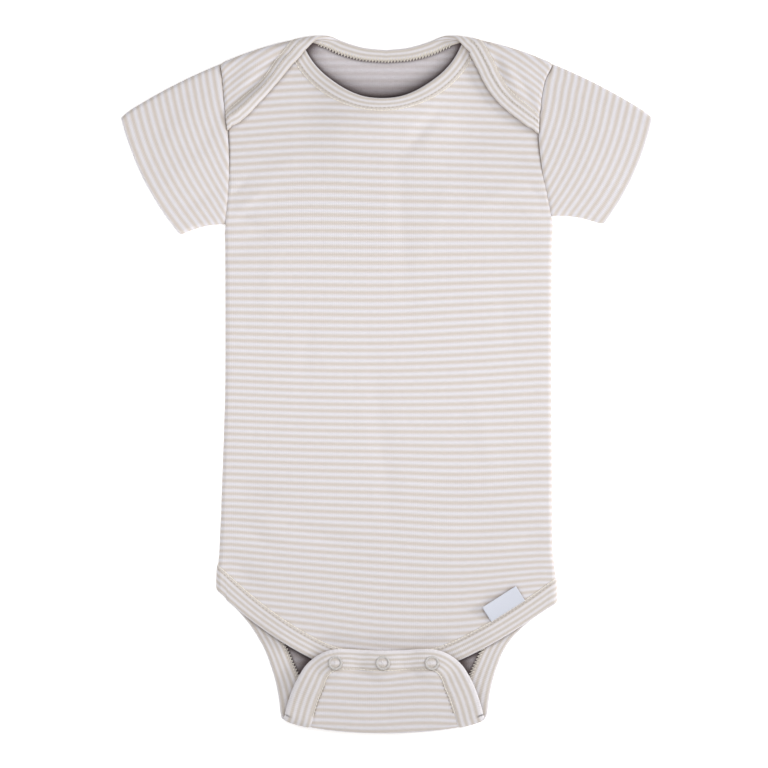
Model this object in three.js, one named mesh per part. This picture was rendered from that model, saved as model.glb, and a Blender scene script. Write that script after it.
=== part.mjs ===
// A baby's short-sleeved bodysuit with lap shoulders and a snap crotch, for about 3 to 6 months.
// It lies flat on its back: X runs across it, Y from crotch to neck, and Z up from the surface it lies on.
// The back is one cut piece that folds over the shoulders and up over the crotch onto the front.
// All sizes are in millimetres.
import * as THREE from "three";

// Cloth and how the layers lie on each other
const CLOTH = 1.2; // wall of one layer of jersey
const BINDING = 2.2; // thickness of a folded binding
const SEAM_GAP = 0.35; // between two pieces that are sewn together
const BACK_MID = CLOTH / 2; // the back's middle surface, with its underside on the floor
const SIDE_SEAM = 2.5; // height at which front and back meet along the side
const EDGE_ROUND = 2.2; // how far in from the side the cloth starts to turn over
const FRONT_AT_SIDE = 4.2; // the front's middle surface beside the side seam
const FRONT_SWELL = 0.5; // how much higher it lies at the middle of the body

// Garment sizes
const SHOULDER_TOP = 208.8; // the highest point of the shoulder fold, beside the neck
const SHOULDER_AT = 43; // its distance from the middle
const SHOULDER_FALL = 0.126; // slope of the shoulder fold beside the neck
const SHOULDER_BOW = 0.00287; // and how fast that slope grows
const SHOULDER_BEND = 2.35; // radius of the fold over the shoulder
const CROTCH_BOTTOM = -209; // the lowest point of the crotch fold
const CROTCH_HALF = 61; // half width of the crotch fold
const CROTCH_RISE = 6.2; // how far the fold rises to its ends
const CROTCH_CORNER = 2.6; // and the rise of its rounded ends
const CROTCH_BEND = 2.5; // radius of the fold under the crotch
const CROTCH_SHIFT = -1.5; // the crotch tail lies a little to the left
const TAIL_DIP = 0.6; // the tail sinks this far behind the snaps
const TAIL_END_RISE = 0.6; // and lies this much higher where it covers the front

// Front neckline, an ellipse along the seam of its binding
const NECK = { x: -2.5, y: 220.8, across: 59.7, down: 56.7, binding: 7.3, wider: 1.7 };
const FRONT_UNDER_LAP = 5; // the front's shoulder ends this far inside the fold

// Front leg and crotch edge, along the seam of its band
const FRONT_CROTCH = { y: -159, half: 28, slope: 0.42, bow: 0.0031, soften: 3 };
const LEG_BAND = 12;
const MITRE = 3.2; // a band is at most this much longer where it is cut along the side seam
const LEG_TILT = -4; // the left leg edge lies higher than the right one

// Half widths of the body at heights y: the armhole seam down to y = 97, and the side seam below it
const BODY = [
  { y: 215, left: 100.5, right: 101.5 },
  { y: 192, left: 99.9, right: 99.9 },
  { y: 182, left: 98.8, right: 95.6 },
  { y: 165, left: 97.3, right: 92.7 },
  { y: 148, left: 95.6, right: 91.9 },
  { y: 130, left: 94.9, right: 93.8 },
  { y: 113, left: 95.5, right: 97.1 },
  { y: 98, left: 97.0, right: 99.6 },
  { y: 80, left: 96.7, right: 99.2 },
  { y: 0, left: 96.7, right: 99.0 },
  { y: -50, left: 98.2, right: 99.2 },
  { y: -100, left: 100.2, right: 99.6 },
  { y: -113, left: 101.4, right: 101.2 },
  { y: -125, left: 101.8, right: 101.8 },
  { y: -150, left: 101.8, right: 101.8 },
];
const ARMHOLE_BOTTOM = { left: 96, right: 101 };
const UNDERARM_CLOSES = 9; // length over which the side seam closes below the armhole

// The back neck seam, by distance from the middle, and then the lap's seam on the front of the shoulder
const BACK_NECK = [
  { x: 0, y: 193.4 },
  { x: 14.7, y: 194.6 },
  { x: 28, y: 198.2 },
  { x: 36.4, y: 202.0 },
];
const OVER_SHOULDER = [
  { x: 44.5, share: -0.12 },
  { x: 51, share: 0.26 },
  { x: 57.2, share: 0.66 },
];
const LAP_SEAM = [
  { x: 61, left: 201.6, right: 200.4 },
  { x: 64, left: 198.2, right: 194.4 },
  { x: 68, left: 192.6, right: 186.0 },
  { x: 72, left: 186.6, right: 179.6 },
  { x: 77, left: 180.3, right: 174.0 },
  { x: 84, left: 174.2, right: 168.2 },
  { x: 91.5, left: 167.8, right: 161.8 },
  { x: 100, left: 160.8, right: 154.5 },
];

// Width of the binding along the back neck and the laps, by distance from the middle
const LAP_BINDING = [
  { x: 0, left: 6.9, right: 6.9 },
  { x: 32, left: 7.6, right: 7.6 },
  { x: 44, left: 7.6, right: 7.6 },
  { x: 56, left: 10.0, right: 10.4 },
  { x: 66, left: 9.6, right: 10.8 },
  { x: 75, left: 8.4, right: 10.4 },
  { x: 86, left: 10.4, right: 9.8 },
  { x: 97, left: 8.2, right: 5.6 },
];

// The back's leg edge and crotch tail, along the seam of its band. "run" is the distance down the cloth,
// which is y on the back; past the fold it counts on, up the front.
const TAIL = [
  { run: -110, half: 101.8, band: 12 },
  { run: -113.5, half: 98.5, band: 12 },
  { run: -118, half: 93, band: 12 },
  { run: -127, half: 82, band: 12 },
  { run: -140, half: 69.5, band: 12 },
  { run: -153, half: 61, band: 12 },
  { run: -166, half: 54.8, band: 13 },
  { run: -179, half: 49.3, band: 15 },
  { run: -191.5, half: 45.8, band: 16.5 },
  { run: -205, half: 44.2, band: 17 },
  { run: -216, half: 43, band: 17 },
  { run: -229.7, half: 39.2, band: 17 },
  { run: -241.5, half: 34.6, band: 16 },
  { run: -248.5, half: 33.5, band: 12.3 },
];
const TAIL_CORNER = 7; // radius of the band seam at the tail's corners

// The largest soft creases of the front: middle, half length, half width, turn in degrees, and rise
const CREASES = [
  { x: 80, y: -58, long: 24, wide: 6, turn: 0, rise: -0.8 },
  { x: 82, y: -74, long: 28, wide: 7, turn: 3, rise: 0.5 },
  { x: 60, y: -86, long: 18, wide: 5, turn: 8, rise: -0.6 },
  { x: 86, y: -95, long: 15, wide: 5, turn: 14, rise: -0.6 },
  { x: -84, y: -69, long: 16, wide: 8, turn: -4, rise: -0.7 },
  { x: -40, y: -93, long: 26, wide: 7, turn: -5, rise: -0.5 },
  { x: 54, y: 143, long: 16, wide: 6, turn: -24, rise: -0.5 },
  { x: 76, y: 130, long: 15, wide: 6, turn: 34, rise: -0.6 },
  { x: 27, y: 152, long: 15, wide: 6, turn: 55, rise: -0.5 },
  { x: -26, y: 154, long: 18, wide: 6, turn: -18, rise: -0.5 },
  { x: 7, y: 52, long: 86, wide: 6, turn: 95, rise: -0.4 },
  { x: -82, y: 101, long: 14, wide: 5, turn: 32, rise: -0.6 },
  { x: -58, y: -128, long: 15, wide: 5, turn: -34, rise: -0.4 },
];

// Sleeves: the hem's two ends in the plan, and how far the hem and the edges bow
const SLEEVES = [
  { side: "left", sign: -1, hemTop: [159.3, 161.0], hemUnder: [123.4, 89.4], hemBow: 4.6 },
  { side: "right", sign: 1, hemTop: [159.3, 160.8], hemUnder: [129.7, 95.7], hemBow: 4.0 },
];
const SLEEVE_TOP_Y = 192.2;
const SLEEVE_EDGE_BOW = 1.9;
const SLEEVE_FRONT = 4.2; // middle surface of the sleeve's upper layer at both ends
const SLEEVE_SWELL = 0.5;
const SLEEVE_ROUND = 2.0;
const HEM_FROM = 0.8; // the turned-in hem starts at this share of the sleeve's length
const HEM_EXTRA = 0.7; // and makes the wall this much thicker on the inside
const TIP_ROUND = 0.9; // the hem's corners draw in by this much

// Snaps, label
const SNAPS = [{ x: -30.6 }, { x: -2.2 }, { x: 27.2 }];
const SNAP_Y = -166.2;
const SNAP_RADIUS = 4.5;
const SNAP_FLAT = 5.4; // the cloth is flat this far round a snap
const SNAP_FADE = 8; // and falls away over this distance
const SNAP_LIFT = 1.0; // the tail's rise over a closed snap
const CAP_HEIGHT = 1.0;
const CAP_HOLE = 2.0;
const LABEL = { fromX: 62.4, toX: 82.6, depth: 9.6, thickness: 1.0, lift: 0.5 };

const QUARTER = Math.PI / 2;
const STEP = 0.01; // for slopes taken by difference

const clamp = (value, low = 0, high = 1) => Math.min(high, Math.max(low, value));
const mix = (from, to, share) => from + (to - from) * share;
const ease = (value) => {
  const share = clamp(value);
  return share * share * (3 - 2 * share);
};
const radians = THREE.MathUtils.degToRad;

// A column of a table at any place along its key, as a smooth curve through the rows.
function read(table, key, column, at) {
  const rows = table[0][key] < table[table.length - 1][key] ? table : [...table].reverse();
  if (at <= rows[0][key]) return rows[0][column];
  if (at >= rows[rows.length - 1][key]) return rows[rows.length - 1][column];
  const k = rows.findIndex((row) => row[key] > at) - 1;
  const slope = (i) => {
    const before = rows[Math.max(0, i - 1)];
    const after = rows[Math.min(rows.length - 1, i + 1)];
    return (after[column] - before[column]) / (after[key] - before[key]);
  };
  const [from, to] = [rows[k], rows[k + 1]];
  const width = to[key] - from[key];
  const t = (at - from[key]) / width;
  const s = 1 - t;
  return (
    from[column] * (1 + 2 * t) * s * s + slope(k) * width * t * s * s +
    to[column] * t * t * (3 - 2 * t) - slope(k + 1) * width * t * t * s
  );
}

// Outlines in the plan
const sideOf = (x) => (x < 0 ? "left" : "right");
const bodyHalf = (x, y) => read(BODY, "y", sideOf(x), y);
// A column's own coordinate runs on round the side fold, so its reach is a little more than the half width.
const turnStart = (x, y) => bodyHalf(x, y) - CLOTH / 2 - EDGE_ROUND;
const fullReach = (x, y) => turnStart(x, y) + EDGE_ROUND * QUARTER;
const closure = (x, y) => ease((ARMHOLE_BOTTOM[sideOf(x)] - y) / UNDERARM_CLOSES);

function shoulderLine(x) {
  const out = Math.max(0, Math.abs(x) - SHOULDER_AT);
  return SHOULDER_TOP - SHOULDER_FALL * out - SHOULDER_BOW * out * out;
}
const shoulderBendStart = (x) => shoulderLine(x) - SHOULDER_BEND - CLOTH / 2;

function crotchLine(x) {
  const share = Math.min(1.2, Math.abs(x - CROTCH_SHIFT) / CROTCH_HALF);
  return CROTCH_BOTTOM + CROTCH_RISE * share ** 2 + CROTCH_CORNER * share ** 6;
}
const crotchBendStart = (x) => crotchLine(x) + CROTCH_BEND + CLOTH / 2;
// Past the crotch fold, run + y is the same for every column, so that a row of the tail lies level.
const TAIL_SUM = 2 * crotchBendStart(CROTCH_SHIFT) - Math.PI * CROTCH_BEND;

const legTilt = (x) => LEG_TILT * (x / 100) ** 3;

function frontLegSeam(x) {
  const past = Math.abs(x) - FRONT_CROTCH.half;
  const out = (past + Math.hypot(past, FRONT_CROTCH.soften)) / 2;
  return FRONT_CROTCH.y + FRONT_CROTCH.slope * out + FRONT_CROTCH.bow * out * out + legTilt(x);
}

function frontTopEdge(x) {
  const share = Math.min(1, Math.abs(x - NECK.x) / NECK.across);
  const neckline = NECK.y - NECK.down * Math.sqrt(1 - share * share);
  return Math.min(neckline, shoulderLine(x) - FRONT_UNDER_LAP);
}

// Where a place on the lap, y on the front, lies along the column's own cloth
const lapRun = (x, y) => 2 * shoulderBendStart(x) + Math.PI * SHOULDER_BEND - y;
const foldRun = (x, share) => shoulderBendStart(x) + share * Math.PI * SHOULDER_BEND;
const backTop = (side) => [
  ...BACK_NECK.map(({ x, y }) => ({ x, run: y })),
  ...OVER_SHOULDER.map(({ x, share }) => ({ x, run: foldRun(x, share) })),
  ...LAP_SEAM.map((row) => ({ x: row.x, run: lapRun(row.x, row[side]) })),
];
const BACK_TOP = { left: backTop("left"), right: backTop("right") };
const backTopEdge = (x) => read(BACK_TOP[sideOf(x)], "x", "run", Math.abs(x));

// Heights of the middle surfaces
function creaseRise(x, y) {
  let rise = 0;
  for (const crease of CREASES) {
    const turn = radians(crease.turn);
    const [dx, dy] = [x - crease.x, y - crease.y];
    const along = (dx * Math.cos(turn) + dy * Math.sin(turn)) / crease.long;
    const across = (dy * Math.cos(turn) - dx * Math.sin(turn)) / crease.wide;
    rise += crease.rise * Math.exp(-along * along - across * across);
  }
  return rise;
}

// The front lies lower under the laps and, between the leg openings, under the crotch tail.
const UNDER_LAP = { drop: 1.9, fromY: 112, overY: 50, fromX: 22, overX: 28 };
const UNDER_TAIL = { drop: 1.45, fromY: -138, overY: 18, fromX: 66, overX: 26 };

function frontHeight(x, y) {
  const out = Math.abs(x);
  const swell = FRONT_SWELL * (1 - clamp(out / 98) ** 2);
  const underLap =
    UNDER_LAP.drop * ease((y - UNDER_LAP.fromY) / UNDER_LAP.overY) *
    ease((out - UNDER_LAP.fromX) / UNDER_LAP.overX);
  const underTail =
    UNDER_TAIL.drop * ease((UNDER_TAIL.fromY - y) / UNDER_TAIL.overY) *
    ease((UNDER_TAIL.fromX - out) / UNDER_TAIL.overX);
  const creased = creaseRise(x, y) * ease((y - UNDER_TAIL.fromY - 6) / 16);
  return FRONT_AT_SIDE + swell - underLap - underTail + creased;
}

function snapLift(x, y) {
  let lift = 0;
  for (const snap of SNAPS) {
    const away = Math.hypot(x - snap.x, y - SNAP_Y);
    lift = Math.max(lift, SNAP_LIFT * ease(1 - (away - SNAP_FLAT) / SNAP_FADE));
  }
  return lift;
}

function tailHeight(x, y) {
  const fold = BACK_MID + 2 * CROTCH_BEND;
  const up = y - crotchBendStart(x);
  const dip = TAIL_DIP * ease(up / 10) * (1 - ease((up - 12) / 14));
  const end = TAIL_END_RISE * ease((y + 190) / 16);
  return fold - dip + end + snapLift(x, y);
}

// The front's middle surface. Its normal points up, out of the garment.
function frontSurface(x, y) {
  const sign = Math.sign(x) || 1;
  const start = turnStart(x, y);
  const height = frontHeight(x, y);
  if (Math.abs(x) <= start) return new THREE.Vector3(x, y, height);
  const closed = closure(x, y);
  const turn = (Math.abs(x) - start) / EDGE_ROUND;
  const out = start + EDGE_ROUND * mix(turn / QUARTER, Math.sin(turn), closed);
  const drop = closed * (height - SIDE_SEAM - SEAM_GAP / 2) * (1 - Math.cos(turn));
  return new THREE.Vector3(sign * out, y, height - drop);
}

// The back's middle surface, by distance along the cloth. Its normal points into the garment.
function backSurface(x, run) {
  const shoulder = shoulderBendStart(x);
  const crotch = crotchBendStart(x);
  let y = run;
  let z = BACK_MID;
  if (run > shoulder) {
    const past = run - shoulder;
    const turn = Math.min(past / SHOULDER_BEND, Math.PI);
    y = shoulder + SHOULDER_BEND * Math.sin(turn) - Math.max(0, past - Math.PI * SHOULDER_BEND);
    z = BACK_MID + SHOULDER_BEND * (1 - Math.cos(turn));
  }
  if (run < crotch) {
    const bendRun = 2 * crotch - TAIL_SUM;
    const turn = (Math.PI * (crotch - run)) / bendRun;
    y = turn < Math.PI ? crotch - CROTCH_BEND * Math.sin(turn) : TAIL_SUM - run;
    z = turn < Math.PI ? BACK_MID + CROTCH_BEND * (1 - Math.cos(turn)) : tailHeight(x, y);
  }
  const start = turnStart(x, y);
  if (Math.abs(x) <= start) return new THREE.Vector3(x, y, z);
  const closed = closure(x, y);
  const turn = (Math.abs(x) - start) / EDGE_ROUND;
  const out = start + EDGE_ROUND * mix(turn / QUARTER, Math.sin(turn), closed);
  const rise = closed * (SIDE_SEAM - SEAM_GAP / 2 - BACK_MID) * (1 - Math.cos(turn));
  return new THREE.Vector3(Math.sign(x) * out, y, z + rise);
}

function slopes(surface, a, b) {
  const across = surface(a + STEP, b).sub(surface(a - STEP, b)).divideScalar(2 * STEP);
  const along = surface(a, b + STEP).sub(surface(a, b - STEP)).divideScalar(2 * STEP);
  return { across, along, normal: across.clone().cross(along).normalize() };
}

// Two triangles for four corners in turn, split along the shorter diagonal
function splitQuad(points, a, b, c, d) {
  const straight = points[a].distanceTo(points[c]) <= points[b].distanceTo(points[d]) + 1e-6;
  return straight ? [a, b, c, a, c, d] : [a, b, d, b, c, d];
}

// A closed solid from two grids of points, the upper and the lower face, with a rim between them.
// A ring grid closes on itself along its rows.
function closeShell(upper, lower, ring = false) {
  const [rows, columns] = [upper.length, upper[0].length];
  const points = [...upper.flat(), ...lower.flat()];
  const top = (i, j) => i * columns + (j % columns);
  const under = (i, j) => rows * columns + top(i, j);
  const faces = [];
  const quad = (a, b, c, d) => faces.push(...splitQuad(points, a, b, c, d));
  const last = ring ? columns : columns - 1;
  for (let i = 0; i < rows - 1; i++) {
    for (let j = 0; j < last; j++) {
      quad(top(i, j), top(i, j + 1), top(i + 1, j + 1), top(i + 1, j));
      quad(under(i, j), under(i + 1, j), under(i + 1, j + 1), under(i, j + 1));
    }
  }
  for (let j = 0; j < last; j++) {
    quad(top(0, j), under(0, j), under(0, j + 1), top(0, j + 1));
    quad(top(rows - 1, j), top(rows - 1, j + 1), under(rows - 1, j + 1), under(rows - 1, j));
  }
  for (let i = 0; i < rows - 1 && !ring; i++) {
    quad(top(i, 0), top(i + 1, 0), under(i + 1, 0), under(i, 0));
    quad(top(i, last), under(i, last), under(i + 1, last), top(i + 1, last));
  }
  const geometry = new THREE.BufferGeometry();
  const flat = points.flatMap((p) => [p.x, p.y, Math.abs(p.z) < 0.002 ? 0 : p.z]);
  geometry.setAttribute("position", new THREE.Float32BufferAttribute(flat, 3));
  geometry.setIndex(faces);
  geometry.computeVertexNormals();
  return geometry;
}

// A wall of cloth over a grid of places on a surface
function clothWall(surface, grid, above = CLOTH / 2, below = CLOTH / 2) {
  const face = (offset) =>
    grid.map((row) =>
      row.map(([a, b]) => surface(a, b).addScaledVector(slopes(surface, a, b).normal, offset)),
    );
  return closeShell(face(above), face(-below));
}

// The section of a folded binding: share of its width from the seam, and share of its thickness.
const BINDING_SECTION = [
  { over: 0, up: 0.32 }, { over: 0.1, up: 0.5 }, { over: 0.9, up: 0.5 }, { over: 1, up: 0.28 },
  { over: 1, up: -0.28 }, { over: 0.9, up: -0.5 }, { over: 0.1, up: -0.5 }, { over: 0, up: -0.32 },
];

// The same section, with more corners for a binding that folds over along its length
const FOLDED_SECTION = [
  ...BINDING_SECTION.slice(0, 2), { over: 0.3, up: 0.5 }, { over: 0.5, up: 0.5 }, { over: 0.7, up: 0.5 },
  ...BINDING_SECTION.slice(2, 6), { over: 0.7, up: -0.5 }, { over: 0.5, up: -0.5 }, { over: 0.3, up: -0.5 },
  ...BINDING_SECTION.slice(6),
];

// Walks over a surface from one place, square to a seam, and returns the places it passes.
function walk(surface, from, heading, distances) {
  const at = { a: from.a, b: from.b };
  const places = [];
  let done = 0;
  for (const distance of distances) {
    const strides = Math.max(1, Math.ceil((distance - done) / 1.5));
    const stride = (distance - done) / strides;
    for (let n = 0; n < strides; n++) {
      const { across, along, normal } = slopes(surface, at.a, at.b);
      const way = heading.clone().addScaledVector(normal, -heading.dot(normal)).normalize();
      const [aa, ab, bb] = [across.dot(across), across.dot(along), along.dot(along)];
      const [wa, wb] = [way.dot(across), way.dot(along)];
      const size = aa * bb - ab * ab;
      const da = (wa * bb - wb * ab) / size;
      const db = (wb * aa - wa * ab) / size;
      const before = surface(at.a, at.b);
      at.a += da * stride;
      at.b += db * stride;
      heading = surface(at.a, at.b).sub(before).normalize();
    }
    done = distance;
    places.push({ a: at.a, b: at.b });
  }
  return places;
}

// Places down the side of a panel from one of its corners, along the seam there
function downSide(surface, from, distances) {
  const side = Math.sign(from.a);
  const { y } = surface(from.a, from.b);
  const onward = Math.sign(surface(from.a, from.b + 1).y - y);
  return distances.map((down) => ({ a: side * fullReach(side, y - down), b: from.b - onward * down }));
}

// A binding along a seam that runs over a surface. width is by station, sides gives how far it stands
// on each side of the surface, and turn says on which side of the seam it lies. Where lead is 1 the
// binding's end is cut along the side of its panel, and elsewhere it is square to the seam.
function bindingStrip(surface, seam, spec) {
  const { width, sides, turn, lead = () => 0, gap = SEAM_GAP, section = BINDING_SECTION } = spec;
  const points = seam.map(([a, b]) => surface(a, b));
  const shares = [...new Set(section.map((corner) => corner.over))].sort((p, q) => p - q);
  const stations = seam.map(([a, b], k) => {
    const before = points[Math.max(0, k - 1)];
    const after = points[Math.min(points.length - 1, k + 1)];
    const tangent = after.clone().sub(before).normalize();
    const { normal } = slopes(surface, a, b);
    const square = normal.clone().cross(tangent).normalize().multiplyScalar(turn);
    const heading = square.clone().lerp(new THREE.Vector3(0, -1, 0), lead(a)).normalize();
    const reach = Math.min(width(k) / Math.max(0.5, heading.dot(square)), width(k) + MITRE);
    const distances = shares.map((share) => gap + share * reach);
    const from = { a, b };
    const places = lead(a) === 1 ? downSide(surface, from, distances) : walk(surface, from, heading, distances);
    return section.map(({ over, up }) => {
      const place = places[shares.indexOf(over)];
      const [above, below] = sides(place.a, place.b);
      const height = mix(-below, above, up + 0.5);
      return surface(place.a, place.b)
        .addScaledVector(slopes(surface, place.a, place.b).normal, height);
    });
  });
  return closeTube(turn > 0 ? stations : [...stations].reverse());
}

// A closed solid from a row of sections, each the same number of corners, with flat ends.
function closeTube(stations) {
  const corners = stations[0].length;
  const points = stations.flat();
  const faces = [];
  for (let k = 0; k < stations.length - 1; k++) {
    for (let c = 0; c < corners; c++) {
      const [p, q] = [k * corners + c, k * corners + ((c + 1) % corners)];
      faces.push(...splitQuad(points, p, p + corners, q + corners, q));
    }
  }
  const end = (stations.length - 1) * corners;
  for (let c = 0; c < corners / 2 - 1; c++) {
    const across = corners - 1 - c;
    faces.push(...splitQuad(points, c, c + 1, across - 1, across));
    faces.push(...splitQuad(points, end + c, end + across, end + across - 1, end + c + 1));
  }
  const geometry = new THREE.BufferGeometry();
  const flat = points.flatMap((p) => [p.x, p.y, Math.abs(p.z) < 0.002 ? 0 : p.z]);
  geometry.setAttribute("position", new THREE.Float32BufferAttribute(flat, 3));
  geometry.setIndex(faces);
  geometry.computeVertexNormals();
  return geometry;
}

// Columns across a panel, by distance from the middle at full width, with the turned side as the last ones
const mirrored = (half) => [...half.slice(1).reverse().map((x) => -x), ...half];
const REACH = fullReach(-1, 0);
const TURN_AT = turnStart(-1, 0);
const FRONT_COLUMNS = mirrored([
  0, 10, 20, 29, 37, 44, 50, 55.5, 61, 68, 76, 85,
  TURN_AT, TURN_AT + 0.33 * (REACH - TURN_AT), TURN_AT + 0.67 * (REACH - TURN_AT), REACH,
]).map((x) => x / REACH);
const BACK_COLUMNS = mirrored([
  0, 14, 27, 36, 41, 45, 49, 53, 56.5, 59, 61.5, 64.5, 69, 76, 85,
  TURN_AT, TURN_AT + 0.5 * (REACH - TURN_AT), REACH,
]).map((x) => x / REACH);
const columnX = (share, y) => share * fullReach(share, y);

function frontPlace(share, up) {
  let x = share * REACH;
  let y = 0;
  for (let n = 0; n < 6; n++) {
    y = mix(frontLegSeam(x), frontTopEdge(x), up);
    x = columnX(share, y);
  }
  return [x, y];
}

function frontPanel() {
  const rows = 22;
  const grid = [];
  for (let i = 0; i < rows; i++) {
    grid.push(FRONT_COLUMNS.map((share) => frontPlace(share, i / (rows - 1))));
  }
  return clothWall(frontSurface, grid);
}

// Rows of the back: the tail's rounded end, the tail and its fold, the legs, the body and the laps
const TAIL_END = TAIL[TAIL.length - 1].run;
const TAIL_END_ROWS = [0, 30, 60].map((degrees) => {
  const turn = radians(degrees);
  return { run: TAIL_END + TAIL_CORNER * (1 - Math.cos(turn)), inset: TAIL_CORNER * (1 - Math.sin(turn)) };
});
const TAIL_ROWS = [
  -241.5, -235, -228, -222, -217.5, -214, -211, -208, -205, -201, -196,
  -188, -178, -166, -154, -144, -135, -127, -120, -116, -113.5, -112, -111, -110,
].map((run) => ({ run, inset: 0 }));
const BODY_ROWS = [-96, -70, -40, -5, 30, 60, 84, 91, 98, 106, 122, 140, 156];
const LAP_ROWS = [0.14, 0.28, 0.38, 0.44, 0.5, 0.56, 0.62, 0.7, 0.8, 0.9, 1];
const LAP_BEND_SHARE = [0.38, 0.62]; // the share of the rows above the chest that make the fold
const LAP_EDGE_ROOM = [12, 7]; // cloth kept between those two rows and the edge

function tailPlace(share, { run, inset }) {
  const half = read(TAIL, "run", "half", run) - inset;
  const shift = CROTCH_SHIFT * ease((-120 - run) / 30);
  const reach = fullReach(share, run + legTilt(share * half));
  const x = clamp(shift + share * half, -reach, reach);
  return [x, run + legTilt(x) * ease((run + 175) / 40)];
}

function lapPlace(share, up) {
  const low = BODY_ROWS[BODY_ROWS.length - 1];
  const [bendFrom, bendTo] = LAP_BEND_SHARE;
  let x = share * REACH;
  let run = 0;
  for (let n = 0; n < 6; n++) {
    const top = backTopEdge(x);
    const bend = shoulderBendStart(x);
    const from = Math.min(bend, top - LAP_EDGE_ROOM[0]);
    const to = Math.min(bend + Math.PI * SHOULDER_BEND, top - LAP_EDGE_ROOM[1]);
    if (up <= bendFrom) run = mix(low, from, up / bendFrom);
    else if (up <= bendTo) run = mix(from, to, (up - bendFrom) / (bendTo - bendFrom));
    else run = mix(to, top, (up - bendTo) / (1 - bendTo));
    x = columnX(share, backSurface(x, run).y);
  }
  return [x, run];
}

function backRows() {
  const grid = [];
  for (const row of [...TAIL_END_ROWS, ...TAIL_ROWS]) {
    grid.push(BACK_COLUMNS.map((share) => tailPlace(share, row)));
  }
  for (const run of BODY_ROWS) {
    const tilted = ease((-40 - run) / 60);
    grid.push(
      BACK_COLUMNS.map((share) => {
        const x = columnX(share, run);
        return [x, run + legTilt(x) * tilted];
      }),
    );
  }
  for (const up of LAP_ROWS) {
    grid.push(BACK_COLUMNS.map((share) => lapPlace(share, up)));
  }
  return grid;
}

const BACK_GRID = backRows();

// Bindings. Each seam's places are the panel's own edge places, so that the gap between them is even.
function frontNeckBinding() {
  const seam = [];
  for (const share of FRONT_COLUMNS) {
    const [x, y] = frontPlace(share, 1);
    if (y < shoulderLine(x) - FRONT_UNDER_LAP - 0.01) seam.push([x, y]);
  }
  const side = [BINDING / 2, BINDING / 2];
  const width = (k) => NECK.binding + NECK.wider * ease((Math.abs(seam[k][0] - NECK.x) - 8) / 30);
  return bindingStrip(frontSurface, seam, { width, sides: () => side, turn: 1 });
}

// On the back the binding lies flush with the floor side; over the folds it stands out on both sides.
function backBindingSides(a, b) {
  const spot = backSurface(a, b);
  const start = turnStart(a, spot.y);
  const sideTurn = closure(a, spot.y) * clamp((Math.abs(a) - start) / (EDGE_ROUND * QUARTER));
  const over = ease((spot.z - BACK_MID) / 2.5) * (1 - sideTurn);
  const below = mix(CLOTH / 2, BINDING / 2, over);
  return [mix(BINDING - below, CLOTH / 2, ease(sideTurn * 1.6)), below];
}

function backNeckBinding() {
  const seam = BACK_GRID[BACK_GRID.length - 1];
  return bindingStrip(backSurface, seam, {
    width: (k) => read(LAP_BINDING, "x", sideOf(seam[k][0]), Math.abs(seam[k][0])),
    sides: backBindingSides,
    turn: 1,
    lead: (a) => ease((Math.abs(a) - 76) / 14),
    gap: 2 * SEAM_GAP,
    section: FOLDED_SECTION,
  });
}

const LEG_GAP = 1.5 * SEAM_GAP;
const legLead = (a) => ease((Math.abs(a) - 84) / 14);

function frontLegBand() {
  const seam = FRONT_COLUMNS.map((share) => frontPlace(share, 0));
  const sides = (a, b) => {
    const turned = clamp((Math.abs(a) - turnStart(a, b)) / (EDGE_ROUND * QUARTER));
    return [BINDING / 2, mix(BINDING / 2, CLOTH / 2, ease(turned * 1.6))];
  };
  return bindingStrip(frontSurface, seam, { width: () => LEG_BAND, sides, turn: -1, gap: LEG_GAP, lead: legLead });
}

function backLegBand() {
  const legRows = TAIL_END_ROWS.length + TAIL_ROWS.length;
  const left = BACK_GRID.slice(0, legRows).map((row) => row[0]).reverse();
  const right = BACK_GRID.slice(0, legRows).map((row) => row[row.length - 1]);
  const end = BACK_GRID[0].slice(1, -1);
  const seam = [...left, ...end, ...right];
  const widths = seam.map(([, run]) => read(TAIL, "run", "band", run));
  return bindingStrip(backSurface, seam, {
    width: (k) => widths[k], sides: backBindingSides, turn: -1, gap: LEG_GAP, lead: legLead,
  });
}

// A sleeve is a tube pressed flat, from the armhole seam to the hem, folded along its top and underarm.
function sleevePlan(sleeve, out, down) {
  const armY = mix(SLEEVE_TOP_Y, ARMHOLE_BOTTOM[sleeve.side], down);
  const armX = bodyHalf(sleeve.sign, armY) - CLOTH / 2 + 1.3 * SEAM_GAP;
  const bow = sleeve.hemBow * 4 * down * (1 - down);
  const hemX = mix(sleeve.hemTop[0], sleeve.hemUnder[0], down) + bow * 0.9;
  const hemY = mix(sleeve.hemTop[1], sleeve.hemUnder[1], down) - bow * 0.45;
  const lift = SLEEVE_EDGE_BOW * 4 * out * (1 - out);
  return new THREE.Vector3(sleeve.sign * mix(armX, hemX, out), mix(armY, hemY, out) + lift, 0);
}

const SLEEVE_OUTS = [0, 0.12, 0.26, 0.4, 0.54, 0.68, HEM_FROM - 0.02, HEM_FROM + 0.02, 0.92, 1];
const SLEEVE_TURNS = [0, 30, 60, 90].map(radians);
const SLEEVE_FLATS = [0.14, 0.28, 0.42, 0.56, 0.7, 0.84];

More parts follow.
